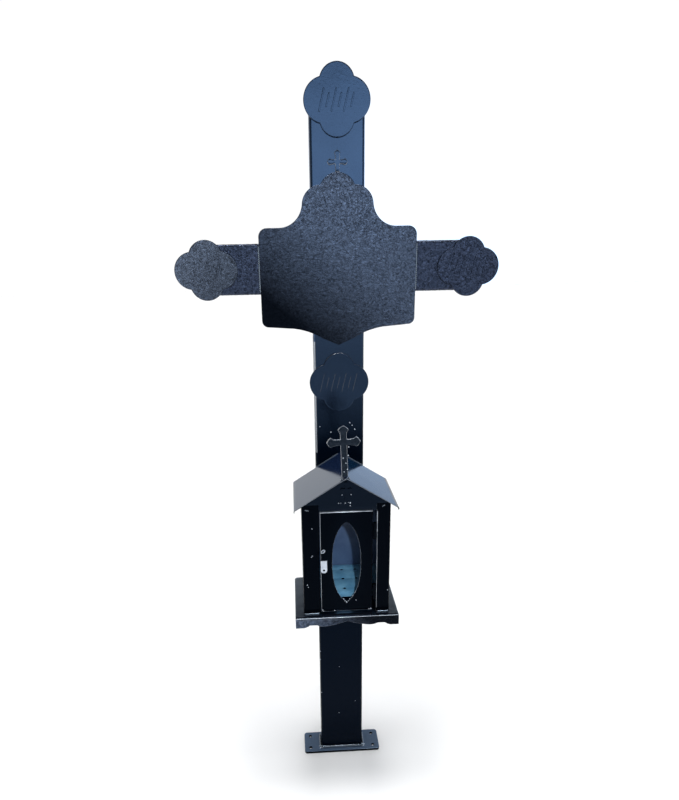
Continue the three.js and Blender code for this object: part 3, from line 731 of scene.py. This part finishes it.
# the lobes, how many strokes, how long they are, and the paint
plate_layout = {
    "plate_top": (POST_PLATE, 6, 46, tube_paint),
    "plate_left": (ARM_PLATE, 5, 50, left_paint),
    "plate_right": (ARM_PLATE, 7, 50, plate_paint),
    "plate_lower": (POST_PLATE, 7, 46, lower_paint),
}
for node, (lobes, count, length, paint) in plate_layout.items():
    low, high = corner_box(node)
    cx, cz = (low[0] + high[0]) / 2, (low[2] + high[2]) / 2
    rough = peel(1.0, 3.4) if lobes is ARM_PLATE else peel(0.2, 8)
    plate = slab(lobed(cx, cz, *lobes), rim(PLATE_FRONT, PLATE_BACK, 1.3), spacing=2.0, relief=rough)
    piece = make(node.replace("plate", "lobed"), [plate, *strokes(count, length, cx, cz)], paint, stands_for=[node])
    # The lower plate's upper rims and its strokes' left flanks get the paler, glossier paint: a painted highlight.
    if node == "plate_lower":
        paint_faces(piece.data, highlight_paint, turned_to_light)

# %% [markdown]
# ## Cartouche
# The big plate over the crossing has an arch on top, hollow shoulders, round corners and a blunt point below.
# It is the roughest piece, because the torch-cut plate was painted thickly as it came. Its outline is drawn
# for one half and mirrored.

# %% Cartouche
def curve(p0, p1, p2, count=12):
    """A quadratic curve without its first point."""
    out = []
    for k in range(1, count + 1):
        t = k / count
        out.append(tuple((1 - t) ** 2 * a + 2 * t * (1 - t) * b + t * t * c for a, b, c in zip(p0, p1, p2)))
    return out


POINT_BELOW = 174  # from the arms' middle line down to the cartouche's point


def cartouche_outline(middle):
    """The whole outline round a middle height: the right half, then its mirror image."""
    radius, hollow = 41, 52
    arch, bump = Vector((0, 158)), Vector((38, 133))
    notch = circles_meet(arch, radius, bump, radius)
    shoulder = 139.6
    fillet = Vector((bump.x + math.sqrt((radius + hollow) ** 2 - (bump.y - shoulder) ** 2), shoulder))
    touch = math.atan2(fillet.y - bump.y, fillet.x - bump.x)
    half = [(0, -POINT_BELOW), (36, -158.5)]
    half += curve((36, -158.5), (66, -139.5), (104, -134))
    half += arc(162, -114.5, 15, -math.pi / 2, 0)
    half += arc(158, 68.6, 19, 0, math.pi / 2)
    half += arc(fillet.x, fillet.y, hollow, -math.pi / 2, touch - math.pi)
    half += arc(bump.x, bump.y, radius, touch, math.atan2(notch.y - bump.y, notch.x - bump.x))
    half += arc(arch.x, arch.y, radius, math.atan2(notch.y - arch.y, notch.x), math.pi / 2)
    half = tidy(half)
    other = [(-x, z) for x, z in reversed(half[1:-1])]
    return [(x * 0.9995, z + middle) for x, z in divided(half + other, 3)]


low, high = corner_box("cartouche")
arm_z = low[2] + POINT_BELOW
shield = slab(cartouche_outline(arm_z), rim(PLATE_FRONT, PLATE_BACK, 1.4), spacing=2.0, relief=peel(1.15, 3.3))
mark = strokes(3, 24, 0, arm_z - 142)
make("shield", [shield, *mark], shield_paint, stands_for=["cartouche"])

edge_beads = []
for x in (-177.6, 177.6):
    path = line((x, -21.4, arm_z - 50), (x, -21.4, arm_z + 50), 1.0)
    edge_beads.append(bead(path, 2.2, ripple=0.1, pitch=4.5))
make("shield_welds", edge_beads, weld_paint)

# %% [markdown]
# ## Small crosses
# Three plain crosses have flared, pointed ends: one lies flat on the post above the cartouche, one stands on
# the lantern's ridge and a small one is fixed to its gable. They differ in their sizes alone, so one function
# draws all three outlines. The flat one comes first, cut from 2 mm sheet.

# %% Flat cross
THIN_FRONT = -22.3  # front of the 2 mm sheets that lie on the post


def flared(middle, top, arms, span, bar_width, flare, length, foot):
    """A cross from its foot to its top, with tips as wide as flare and as long as length."""
    half = bar_width / 2

    def tip(dx, dz, reach):
        """One arm's end, in the direction (dx, dz)."""
        profile = [
            (reach - length * 2.3, half), (reach - length * 1.5, half * 1.15), (reach - length, flare / 2),
            (reach - length * 0.45, flare * 0.32),
        ]

        def at(along, across):
            return (middle + dx * along - dz * across, arms + dz * along + dx * across)

        return [at(a, -c) for a, c in profile] + [at(reach, 0)] + [at(a, c) for a, c in reversed(profile)]

    return (
        [(middle - half, foot), (middle + half, foot), (middle + half, arms - half)]
        + tip(1, 0, span / 2) + [(middle + half, arms + half)]
        + tip(0, 1, top - arms) + [(middle - half, arms + half)]
        + tip(-1, 0, span / 2) + [(middle - half, arms - half)]
    )


low, high = corner_box("relief_cross")
relief_shape = divided(flared(0, high[2] - 0.1, high[2] - 24, 45, 9.4, 14, 6, low[2]), 3)
relief_slab = slab(relief_shape, rim(THIN_FRONT, PLATE_BACK, 0.7, 2))
# Its edges round the front get the paler edge paint: a painted highlight.
make("flat_cross", [relief_slab], tube_paint, stands_for=["relief_cross"], edge=edge_highlight_paint)

# %% [markdown]
# The cross on the ridge leans a little, as in the photo, because it was welded on by eye. Its outline is drawn
# upright, then turned and moved on to the ridge, and a short bead holds its foot.

# %% Crosses of the lantern
ROOF_PITCH = math.radians(32.6)

low, high = corner_box("finial_cross")
lean = Matrix.Rotation(math.radians(1.8), 2)
ridge = corner_box("lantern_roof")[1][2]
slope = math.tan(ROOF_PITCH)
finial_shape = flared(0, 123.6, 86, 73.6, 14, 23, 9.5, 6)
finial_shape = [tuple(lean @ Vector(p) + Vector((-3, ridge - 7 * slope))) for p in finial_shape]
finial = slab(divided(finial_shape, 3), rim(-188, -183, 1.3))
finial_bead = bead(line((-14, -184, ridge - 6.5), (8, -184, ridge - 3.5), 1.0), 2.6, ripple=0.1, pitch=5)
# Its edges round the front get the paler edge paint: a painted highlight.
make("ridge_cross", [finial, finial_bead], cross_paint, stands_for=["finial_cross"], edge=edge_highlight_paint)
print("the ridge cross stands", round(high[2] - ridge), "mm over the ridge")

low, high = corner_box("gable_cross")
gable_shape = divided(flared(0, high[2] - 0.1, high[2] - 20, 26.8, 6, 9, 4, low[2]), 3)
gable_slab = slab(gable_shape, rim(-182.3, -180.3, 0.6, 2))
make("small_gable_cross", [gable_slab], gable_paint, stands_for=["gable_cross"])

# %% [markdown]
# ## Lantern
# The little house is folded from 2 mm sheet. Each side wall turns round into a front stile, and the door
# closes the space between the stiles. A section with a round bend, run upwards as a bar, gives both in one
# piece as the bending brake does. The stiles' inner edges are cut edges, and both get a painted highlight: the
# paler edge paint on the left one, the bright grey-blue paint on the right one.

# %% Lantern walls
LANTERN_FRONT, LANTERN_INNER = -180, -178  # depths of the 2 mm front sheets
STILE_LEFT, STILE_RIGHT = -62.0, 69.5  # where the stiles end and the door begins
BEND_DEPTH = LANTERN_FRONT + 3  # middle of the round bend

low, high = corner_box("lantern_back")
half = high[0]
wall_top = corner_box("lantern_side_left")[1][2]
back_shape = [(-half, low[2]), (half, low[2]), (half, wall_top), (0, high[2]), (-half, wall_top)]
back_wall = slab(divided(back_shape, 20), rim(THIN_FRONT, PLATE_BACK, 0.4, 2))
make("back_wall", [back_wall], wall_paint, stands_for=["lantern_back"])

for side, name, stile in ((-1, "left", STILE_LEFT), (1, "right", STILE_RIGHT)):
    low, high = corner_box(f"lantern_side_{name}")
    bend = arc(half - 3, BEND_DEPTH, 3, 0, -math.pi / 2, 0.8)
    inner = arc(half - 3, BEND_DEPTH, 1, -math.pi / 2, 0, 0.8)
    stile_end = [(stile * side, LANTERN_FRONT), (stile * side, LANTERN_INNER)]
    half_section = [(half, -22.6), *bend, *stile_end, *inner, (half - 2, -22.6)]
    section = tidy([(x * side, y) for x, y in half_section])
    area = sum(a[0] * b[1] - b[0] * a[1] for a, b in zip(section, section[1:] + section[:1]))
    section = section if area > 0 else section[::-1]
    wall = bar(divided(section, 12), low[2], high[2], 10, along_z, tube_dent(0.12, 40))
    wall_piece = make(f"side_wall_{name}", [wall], lantern_paint, stands_for=[f"lantern_side_{name}"])
    # The stiles' inner edges get a bright paint, a painted highlight: the grey-blue one on the right, the paler edge
    # paint on the left.
    paint_faces(
        wall_piece.data,
        highlight_line_paint if side > 0 else edge_highlight_paint,
        lambda face: face.normal.x * side < -0.5 and abs(face.center.x) < 75 * MM and face.center.y < -170 * MM,
    )

# %% [markdown]
# The gable is a flat sheet that closes the space over the door and follows the roof's slope. It hangs down
# between the stiles. Along the right stile's edge, the light catches a thin line that is thicker at its top,
# and it is painted on as a highlight. Both parts are thin beads in the bright grey-blue paint, because a line
# less than a millimetre wide would get lost in a noise texture.

# %% Gable
GABLE_HALF = 98.5  # half its width, at the eaves
GABLE_LEFT, GABLE_RIGHT = -61.7, 69.2  # the part that hangs between the stiles

low, high = corner_box("lantern_gable")
shoulder, eave_height = wall_top + 0.3, high[2] - GABLE_HALF * slope
gable_outline = [
    (GABLE_LEFT, low[2]), (GABLE_RIGHT, low[2]), (GABLE_RIGHT, shoulder), (GABLE_HALF, shoulder),
    (GABLE_HALF, eave_height), (0, high[2]), (-GABLE_HALF, eave_height),
    (-GABLE_HALF, shoulder), (GABLE_LEFT, shoulder),
]
gable_rim = rim(LANTERN_FRONT, LANTERN_INNER, 0.5, 2)
gable = slab(divided(gable_outline, 10), gable_rim, spacing=6, relief=peel(0.2, 25))
make("gable", [gable], gable_paint, stands_for=["lantern_gable"])

# Two thin beads in the bright grey-blue paint: a painted highlight along the right stile's edge, thicker at its top.
stile_line = bead(line((70.8, -180.1, 792), (70.8, -180.1, 846), 1.0), 0.75, ripple=0.1, pitch=5)
thin_line = bead(line((70.8, -180.1, 592), (70.8, -180.1, 791), 2.0), 0.4)
make("stile_edge", [stile_line, thin_line], highlight_line_paint)

# %% [markdown]
# The roof is one sheet, folded at the ridge and turned down a little at each eave. Its section is drawn as
# the upper side from the right eave to the left one and back along the under side, then run to the back as a
# bar. A bead along the front rounds the cut edge. The slopes get a painted reflection of the sky, strong on the
# left and weak on the right, the front edge gets a painted highlight, and the lips get painted shade.

# %% Roof
low, high = corner_box("lantern_roof")
top, reach = high[2], high[0]
eave = low[2]
sheet_drop = 2 / math.cos(ROOF_PITCH)  # the sheet's thickness, measured straight down
outer_right = [(reach, eave), (reach, top - reach * slope - 1.2), (reach - 1.6, top - (reach - 1.6) * slope - 0.1)]
inner_right = [
    (3, top - 3 * slope - sheet_drop), (reach - 2, top - (reach - 2) * slope - sheet_drop), (reach - 2, eave)
]
ridge_round = [(4, top - 4 * slope), (2, top - 2 * slope - 0.35), (0, top - 1.1)]
right_half = outer_right + ridge_round
left_half = [(-x, z) for x, z in reversed(right_half[:-1])]
under = [(-x, z) for x, z in reversed(inner_right)] + inner_right
roof_section = tidy(right_half + left_half + under)
nose = 1.0
roof = bar(divided(roof_section, 8), low[1] + nose, high[1], 8, along_y, tube_dent(0.2, 45))
middle_line = []
for x in (-(reach - 1.2), 0, reach - 1.2):
    middle_line.append((x, low[1] + nose, top - max(abs(x), 1.5) * slope - sheet_drop / 2))
nose_path = line(middle_line[0], middle_line[1], 6)[:-1] + line(middle_line[1], middle_line[2], 6)
front_edge = bead(nose_path, nose, sides=12)
roof_piece = make("roof", [roof, front_edge], roof_paint, stands_for=["lantern_roof"])
front_band = (low[1] + 1.5) * MM


def on_lip(face):
    """The eaves' lips, and the under side of the front edge."""
    return abs(face.normal.x) > 0.9 or (face.center.y < front_band and face.normal.z < 0.2)


# The right slope gets a weak copy of the paint and the front edge the paler edge paint, a painted reflection and a
# painted highlight; the lips and the edge's under side get the dark gable paint, painted shade.
paint_faces(roof_piece.data, roof_right_paint, lambda face: face.normal.x > 0.3 and face.normal.z > 0.3)
paint_faces(roof_piece.data, edge_highlight_paint, lambda face: face.center.y < front_band)
paint_faces(roof_piece.data, gable_paint, on_lip)

# %% [markdown]
# The shelf carries the lantern, and it has round corners at its back. The apron hangs from its front edge: a
# strip whose lower edge is cut in waves and which got the thickest paint. The waves are quadratic curves,
# drawn for the left half and mirrored. On the photo's left half the drips are coarse, so the relief is scaled
# down from left to right.

# %% Shelf and apron
CORNER = 9  # radius of the shelf's rear corners

low, high = corner_box("lantern_base")
shelf_outline = tidy(
    [(low[0], low[1] + 1.5), (high[0], low[1] + 1.5)]
    + arc(high[0] - CORNER, high[1] - CORNER, CORNER, 0, math.pi / 2)
    + arc(low[0] + CORNER, high[1] - CORNER, CORNER, math.pi / 2, math.pi)
)
shelf = slab(divided(shelf_outline, 8), rim(high[2], high[2] - 3, 1.0), lying, spacing=5, relief=peel(0.2, 20))
foot_z = low[2]
wave = [(low[0], foot_z), (-103, foot_z)]
# each curve's control point and end, with heights over the apron's lowest edge
wave_curves = (((-96, 1), (-89, 6.5)), ((-80, 6.5), (-72, 6.5)), ((-60, 0), (-41, 4)), ((-19, 8), (0, 15)))
for control, end in wave_curves:
    wave += curve(wave[-1], (control[0], foot_z + control[1]), (end[0], foot_z + end[1]), 6)
wave += [(-x, z) for x, z in reversed(wave[:-1])]
apron_outline = divided(tidy([*wave, (high[0], high[2] - 0.2), (low[0], high[2] - 0.2)]), 4)


def apron_relief(u, v):
    """Coarse drips on the left half, smoother towards the right."""
    share = max(0.15, min(1.0, (20 - u) / 60))
    return share * peel(2.2, 3.2)(u, v)


apron = slab(apron_outline, rim(-198, -195, 1.0), spacing=2.0, relief=apron_relief)
make("shelf", [shelf], shelf_paint, stands_for=["lantern_base"])
# The apron's edges round the front get the paler edge paint: a painted highlight.
make("apron", [apron], apron_paint, edge=edge_highlight_paint)

# %% [markdown]
# ## Door
# The door is a pan: a sheet with its four edges folded back, which makes it stiff. A long pointed window was
# cut into it, so that the candle can be seen. The fold is the rim's profile here, so the pan is one slab with
# a hole. It turns on two barrel hinges at its right edge, so it rides on the body of the door.

# %% Door
low, high = corner_box("door_panel")
front = low[1]
door_outline = divided([(low[0], low[2]), (high[0], low[2]), (high[0], high[2]), (low[0], high[2])], 12)
door_middle = (low[2] + high[2]) / 2
window_half = (high[2] - low[2]) / 2 - 26
WINDOW_WIDE, WINDOW_STEPS, BEND = 33, 36, 2.2  # half the window's width, points to a side, radius of the fold
window = []
for i in range(WINDOW_STEPS + 1):
    t = -math.cos(math.pi * i / WINDOW_STEPS)
    window.append((WINDOW_WIDE * (1 - abs(t) ** 2.5) ** 0.7, door_middle + t * window_half))
window += [(-x, z) for x, z in reversed(window[1:-1])]
window = tidy(window)[::-1]
fold = [(2, front + 2), (2, front + 8), (0, front + 8), (0, front + BEND)]
fold += [(BEND * (1 - math.cos(t)), front + BEND * (1 - math.sin(t))) for t in (0.4, 0.8, 1.2, math.pi / 2)]
door = slab(door_outline, fold, facing, [window], rim(front, front + 2, 0.7), 5.0, peel(0.25, 30))
# The door's edges round the front get the paler edge paint and its top edge the bright grey-blue paint, both painted
# highlights; its right edge keeps the plain black.
door_piece = make("door", [door], lantern_paint, body="door", stands_for=["door_panel"], edge=edge_highlight_paint)
door_piece.data.materials.append(highlight_line_paint)
for face in door_piece.data.polygons:
    if face.normal.x > 0.5 and face.center.x > 50 * MM:
        face.material_index = 0
    elif face.normal.z > 0.5 and face.center.z > (high[2] - 4) * MM:
        face.material_index = 2

# %% [markdown]
# A tab of bare zinc with a round end and a hole hangs at the door's left edge, with a loop of bent wire over
# it. They ride on the door. The loop is a leaning ellipse, followed by a bead.

# %% Latch
low, high = corner_box("latch_tab")
tab_x, tab_r = (low[0] + high[0]) / 2, (high[0] - low[0]) / 2
tab_end = arc(tab_x, low[2] + tab_r, tab_r, math.pi, math.tau, 1.0)
tab_outline = tidy([(high[0], high[2]), (low[0], high[2])] + tab_end)
tab = slab(tab_outline, rim(low[1], high[1], 0.5, 2), facing, [circle(tab_x, low[2] + tab_r, 2.5, 16)])
make("zinc_tab", [tab], zinc, body="door", stands_for=["latch_tab"])

low, high = corner_box("latch_loop")
loop_x, loop_z, loop_y = (low[0] + high[0]) / 2, (low[2] + high[2]) / 2, (low[1] + high[1]) / 2
tilt = Matrix.Rotation(math.radians(40), 2)
angles = [math.tau * k / 32 for k in range(32)]
turns = [tilt @ Vector((4.9 * math.cos(t), 2.7 * math.sin(t))) for t in angles]
wire = bead([(loop_x + p.x, loop_y, loop_z + p.y) for p in turns], 1.25, closed=True, sides=8)
make("wire_loop", [wire], zinc, body="door", stands_for=["latch_loop"])

# %% [markdown]
# ## Tray
# A perforated sheet lies raised inside the lantern and carries the candle. Its front edge is folded down and
# its sides are legs. Only its front shows through the window, but with the door open the whole of it can be
# seen, so it is complete: five rows of three holes, a front strip and two sides.

# %% Tray
TRAY_SHEET = 1.5

low, high = corner_box("candle_tray")
tray_outline = divided([(low[0], low[1]), (high[0], low[1]), (high[0], high[1]), (low[0], high[1])], 10)
tray_holes = [circle((c - 2) * 35, high[1] - 22 - row * 42, 4, 14) for c in range(5) for row in range(3)]
strip_low, strip_high = high[2] - 14, high[2] - 0.3
front_strip = [(low[0], strip_low), (high[0], strip_low), (high[0], strip_high), (low[0], strip_high)]
tray = [
    slab(tray_outline, rim(high[2], high[2] - TRAY_SHEET, 0.5, 2), lying, tray_holes),
    slab(front_strip, rim(low[1], low[1] + TRAY_SHEET, 0.4, 2)),
]
for x in (low[0], high[0] - TRAY_SHEET):
    side_outline = [(low[1], low[2]), (high[1], low[2]), (high[1], high[2] - 0.3), (low[1], high[2] - 0.3)]
    tray.append(slab(side_outline, rim(x + TRAY_SHEET, x, 0.4, 2), standing))
make("tray", tray, inside_paint, stands_for=["candle_tray"])

# %% [markdown]
# The small welds of the lantern: at the feet of the stiles, under the eaves, and where the roof and the shelf
# meet the post. They are what holds the house to the cross.

# %% Lantern welds
# start, end, step of the path, radius, ripple and length of a ripple
weld_runs = [
    ((-100, -181, 584), (-64, -181, 584), 1.0, 1.7, 0.12, 4),
    ((72, -181, 584), (100, -181, 584), 1.0, 1.7, 0.12, 4),
    ((-94, -180.4, 855), (-84, -180.6, 853), 1.0, 2.4, 0.2, 4),
    ((80, -180.6, 857), (88, -180.4, 861), 1.0, 2.4, 0.2, 4),
    ((-62, -21.5, 579), (62, -21.5, 579), 1.5, 2.6, 0.1, 5),
]
for side in (-1, 1):
    start = (4 * side, -21.5, ridge - 4 * slope + 0.5)
    end = (58 * side, -21.5, ridge - 58 * slope + 0.5)
    weld_runs.append((start, end, 1.2, 2.0, 0.1, 5))
welds = [bead(line(a, b, step), radius, ripple=wave, pitch=pitch) for a, b, step, radius, wave, pitch in weld_runs]
make("lantern_beads", welds, weld_paint)

# %% [markdown]
# Welding throws off small drops of steel that stick where they land. Painted over, they stay as tiny bright
# points: on the stiles, on the gable round the small cross, and thickest on the ridge at the foot of the
# standing cross.

# %% Spatter
def drop(x, y, z, radius):
    """A small ball, half sunk into what it sits on."""
    ball = bmesh.new()
    bmesh.ops.create_icosphere(ball, subdivisions=2, radius=radius)
    verts = [(v.co.x + x, v.co.y + y, v.co.z + z) for v in ball.verts]
    faces = [tuple(v.index for v in f.verts) for f in ball.faces]
    ball.free()
    return verts, faces


# across, height and radius of each drop, in millimetres
stile_drops = [(-78, 807, 1.5), (-79, 738, 1.6), (-81, 735, 1.2), (-92, 662, 1.5), (-90, 656, 1.1), (97, 640, 1.0)]
gable_drops = [
    (-17, 868, 1.3), (-12, 868, 1.1), (-2, 868, 1.5), (9, 868, 1.7), (5, 869, 1.1), (-9, 888, 1.4), (11, 888, 1.4),
    (9, 861, 1.2),
]
finial_drops = [(-5, 946, 1.4), (2, 952, 1.2), (-1, 966, 1.3), (4, 984, 1.3), (-7, 978, 1.2), (5, 1003, 1.2)]
upper_drops = [(-21, 985, 2.2), (26, 1008, 2.0), (31, 1001, 1.4), (38, 990, 1.8), (-48, 1000, 1.5)]
post_drops = [
    (-58, 345, 1.2), (-58, 318, 0.9), (-57, 205, 1.1), (-14, 470, 0.9), (-6, 290, 1.0), (-8, 130, 1.0), (40, 170, 0.9)
]
# these lie round the corners of the foot's weld, so they give their depth too
foot_drops = [
    (-63, -24, 10, 2.2), (-59, -26, 11, 1.8), (-66, -19, 9.6, 1.7), (-56, -26, 10, 1.3),
    (63, -24, 10, 2.2), (66, -19, 9.6, 1.8), (59, -26, 10.5, 1.5),
]


def drops_on(y, places):
    """Drops on an upright face at depth y."""
    return [drop(x, y, z, radius) for x, z, radius in places]


spatter = drops_on(LANTERN_FRONT, stile_drops + gable_drops) + drops_on(-188.2, finial_drops)
spatter += drops_on(PLATE_BACK, upper_drops) + [drop(*place) for place in foot_drops]
spatter += drops_on(PLATE_BACK, post_drops)
make("spatter", spatter, zinc)

# %% [markdown]
# The drops on the door are an object of their own, because they swing with it. Most of them lie in a little
# heap under the window's lower point, and the others along the door's lower edge.

# %% Spatter on the door
DOOR_FACE = -182.5
edge_drops = [(-57, 594, 1.6), (-55, 591, 1.1), (57, 593, 1.6), (53, 592, 1.2), (-29, 592, 1.3)]
window_drops = [(-7, 622, 1.1), (-4, 617, 1.2), (0, 613, 1.5), (4, 617, 1.2), (7, 622, 1.1), (22, 618, 1.1)]
make("door_spatter", drops_on(DOOR_FACE, edge_drops + window_drops), zinc, body="door")

# %% [markdown]
# Some pieces are as plain in reality as in the model: the caps of the tubes, the hinge barrels and the
# latch's keeper. They stay as they are and only get their paint here.

# %% Carried-over pieces
small_parts = {
    "post_cap": tube_paint, "arm_cap_left": plate_paint, "arm_cap_right": plate_paint, "latch_keeper": lantern_paint,
    "hinge_frame_lower": lantern_paint, "hinge_frame_upper": lantern_paint,
    "hinge_door_lower": lantern_paint, "hinge_door_upper": lantern_paint,
}
for node, paint in small_parts.items():
    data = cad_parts[node].data
    data.materials.clear()
    data.materials.append(paint)
print("painted as they are:", ", ".join(small_parts))

# %% [markdown]
# ## Studio
# The cross stands on a plain white floor. It is much wider than the picture, so that its rim never shows, and
# it takes the shadow round the foot.

# %% Floor
FLOOR_HALF, FLOOR_WHITE = 30, 0.92

floor_paint = bpy.data.materials.new("floor white")
floor_paint.use_nodes = True
floor_surface = floor_paint.node_tree.nodes["Principled BSDF"]
floor_surface.inputs["Base Color"].default_value = (FLOOR_WHITE, FLOOR_WHITE, FLOOR_WHITE, 1)
floor_surface.inputs["Roughness"].default_value = 0.9
floor_surface.inputs["Specular IOR Level"].default_value = 0.1

floor_corners = [(-1, -1), (1, -1), (1, 1), (-1, 1)]
floor_mesh = bpy.data.meshes.new("floor")
floor_mesh.from_pydata([(x * FLOOR_HALF, y * FLOOR_HALF, 0) for x, y in floor_corners], [], [(0, 1, 2, 3)])
floor_mesh.materials.append(floor_paint)
floor = bpy.data.objects.new("floor", floor_mesh)
bpy.context.scene.collection.objects.link(floor)
print("floor", 2 * FLOOR_HALF, "m wide")

# %% [markdown]
# Gloss black paint shows its surroundings. The surround is white behind the cross, for a clean background,
# and dim in front of it, so that the paint stays black. It is graded by direction, with soft changes, because
# a hard edge would be mirrored as a line. To the right and near the horizon it is a little bluer, and the
# roof's right slope mirrors that.

# %% Surround
world = bpy.data.worlds.new("surround")
world.use_nodes = True
sky = world.node_tree
axes = sky.nodes.new("ShaderNodeSeparateXYZ")
sky.links.new(sky.nodes.new("ShaderNodeTexCoord").outputs["Generated"], axes.inputs[0])
to_right, to_back, upwards = (axes.outputs[axis] for axis in "XYZ")

strength = sky.nodes.new("ShaderNodeMix")
sky.links.new(ramp_over(sky, to_back, -0.2, 0.35, 0.0, 1.0), strength.inputs["Factor"])
sky.links.new(ramp_over(sky, upwards, 0.2, 0.3, 0.35, 0.15), strength.inputs["A"])
sky.links.new(ramp_over(sky, upwards, 0.5, 0.6, 1.02, 0.15), strength.inputs["B"])
sky.links.new(strength.outputs["Result"], sky.nodes["Background"].inputs["Strength"])

right_share = ramp_over(sky, to_right, 0.0, 0.3, 0.0, 1.0)
blue_share = multiplied(sky, right_share, ramp_over(sky, upwards, 0.2, 0.3, 1.0, 0.0))
colour = sky.nodes.new("ShaderNodeCombineColor")
colour.inputs["Red"].default_value = 1.0
sky.links.new(ramp_over(sky, blue_share, 0.0, 1.0, 1.0, 1.3), colour.inputs["Green"])
sky.links.new(ramp_over(sky, blue_share, 0.0, 1.0, 1.0, 1.75), colour.inputs["Blue"])
sky.links.new(colour.outputs["Color"], sky.nodes["Background"].inputs["Color"])
bpy.context.scene.world = world
print("surround:", len(sky.nodes), "nodes")

# %% [markdown]
# Soft boxes are what the paint mirrors. A large one behind the camera lights the upper cross, a weak one the
# left arm, and a strip on the left draws the bright line down the post's round corner. Three suns side by
# side spread the shadow sideways round the foot. They are wide, as a thin cloud would make them. A narrow
# spot reaches the tray and the back wall through the window, from the front and a little from the right.

# %% Lamps
def aimed_lamp(name, kind, place, target, power, colour):
    """A lamp that points from one place to another."""
    lamp = bpy.data.lights.new(name, kind)
    lamp.energy = power
    lamp.color = colour
    holder = bpy.data.objects.new(name, lamp)
    holder.location = place
    holder.rotation_mode = "QUATERNION"
    holder.rotation_quaternion = (Vector(target) - Vector(place)).to_track_quat("-Z", "Y")
    bpy.context.scene.collection.objects.link(holder)
    return holder


def soft_box(name, place, target, width, height, power, colour):
    """A rectangle that glows towards a target."""
    box = aimed_lamp(name, "AREA", place, target, power, colour)
    box.data.shape = "RECTANGLE"
    box.data.size, box.data.size_y = width, height


def panel(name, x0, x1, z0, z1, y, radiance, colour):
    """A soft box that stands upright behind the camera and faces the cross."""
    width, height = x1 - x0, z1 - z0
    middle = ((x0 + x1) / 2, y, (z0 + z1) / 2)
    soft_box(name, middle, (middle[0], 0.0, middle[2]), width, height, radiance * math.pi * width * height, colour)


panel("sky_box", -0.8, 1.5, 1.6, 2.75, -2.6, 3.0, (0.85, 0.93, 1.0))
panel("left_haze", -1.5, -0.9, 1.0, 1.6, -2.6, 1.3, (0.95, 0.96, 1.0))
soft_box("left_strip", (-1.9, -0.5, 0.75), (0.0, 0.0, 1.0), 0.4, 0.7, 5, (0.9, 0.95, 1.0))
for index, lean_x in enumerate((-0.24, 0.0, 0.24)):
    sun = aimed_lamp(f"overhead_{index}", "SUN", (lean_x, -0.09, 1.0), (0, 0, 0), 0.93, (1, 1, 1))
    sun.data.angle = math.radians(13)
spot = aimed_lamp("window_lamp", "SPOT", (0.040, -0.78, 1.108), (0.0, -0.18, 0.72), 17, (0.85, 0.95, 1.0))
spot.data.spot_size = math.radians(19)
spot.data.spot_blend = 0.1
spot.data.shadow_soft_size = 0.012
spot.scale = (0.4, 1.0, 1.0)
print("lamps:", ", ".join(lamp.name for lamp in bpy.data.lights))

# %% [markdown]
# ## Camera
# The photo was taken from a little left of the cross, about 1.3 m away, from a height of 1.4 m, with a wide
# lens tilted down. That is why the foot looks so small and the cross so wide. The place and the tilt were
# worked out from the edges of the tubes and plates.

# %% Camera
WIDTH, HEIGHT, SENSOR = 679, 800, 36  # the photo in pixels, and the sensor's longer side in millimetres
FOCAL = 540  # focal length in pixels
AXIS_X, AXIS_Y = 313.52, 420.55  # where the lens points, in pixels from the upper left corner

camera_data = bpy.data.cameras.new("camera")
camera_data.sensor_width = SENSOR
camera_data.lens = FOCAL / HEIGHT * SENSOR
camera_data.shift_x = (WIDTH / 2 - AXIS_X) / HEIGHT
camera_data.shift_y = (AXIS_Y - HEIGHT / 2) / HEIGHT
camera_data.clip_end = 200
camera = bpy.data.objects.new("camera", camera_data)
yaw, pitch, roll = math.radians(2.15), math.radians(16.22), math.radians(-1.25)
ahead = Vector((math.sin(yaw) * math.cos(pitch), math.cos(yaw) * math.cos(pitch), -math.sin(pitch)))
right = Vector((math.cos(yaw), -math.sin(yaw), 0))
upward = right.cross(ahead)
right_rolled = right * math.cos(roll) + upward * math.sin(roll)
up_rolled = upward * math.cos(roll) - right * math.sin(roll)
turn = Matrix((right_rolled, up_rolled, -ahead)).transposed()
camera.matrix_world = Matrix.Translation((-0.11081, -1.2866, 1.38477)) @ turn.to_4x4()
bpy.context.scene.collection.objects.link(camera)
bpy.context.scene.camera = camera
bpy.context.scene.view_settings.view_transform = "Standard"
print("camera at", [round(c, 3) for c in camera.matrix_world.translation], "lens", round(camera_data.lens, 1), "mm")
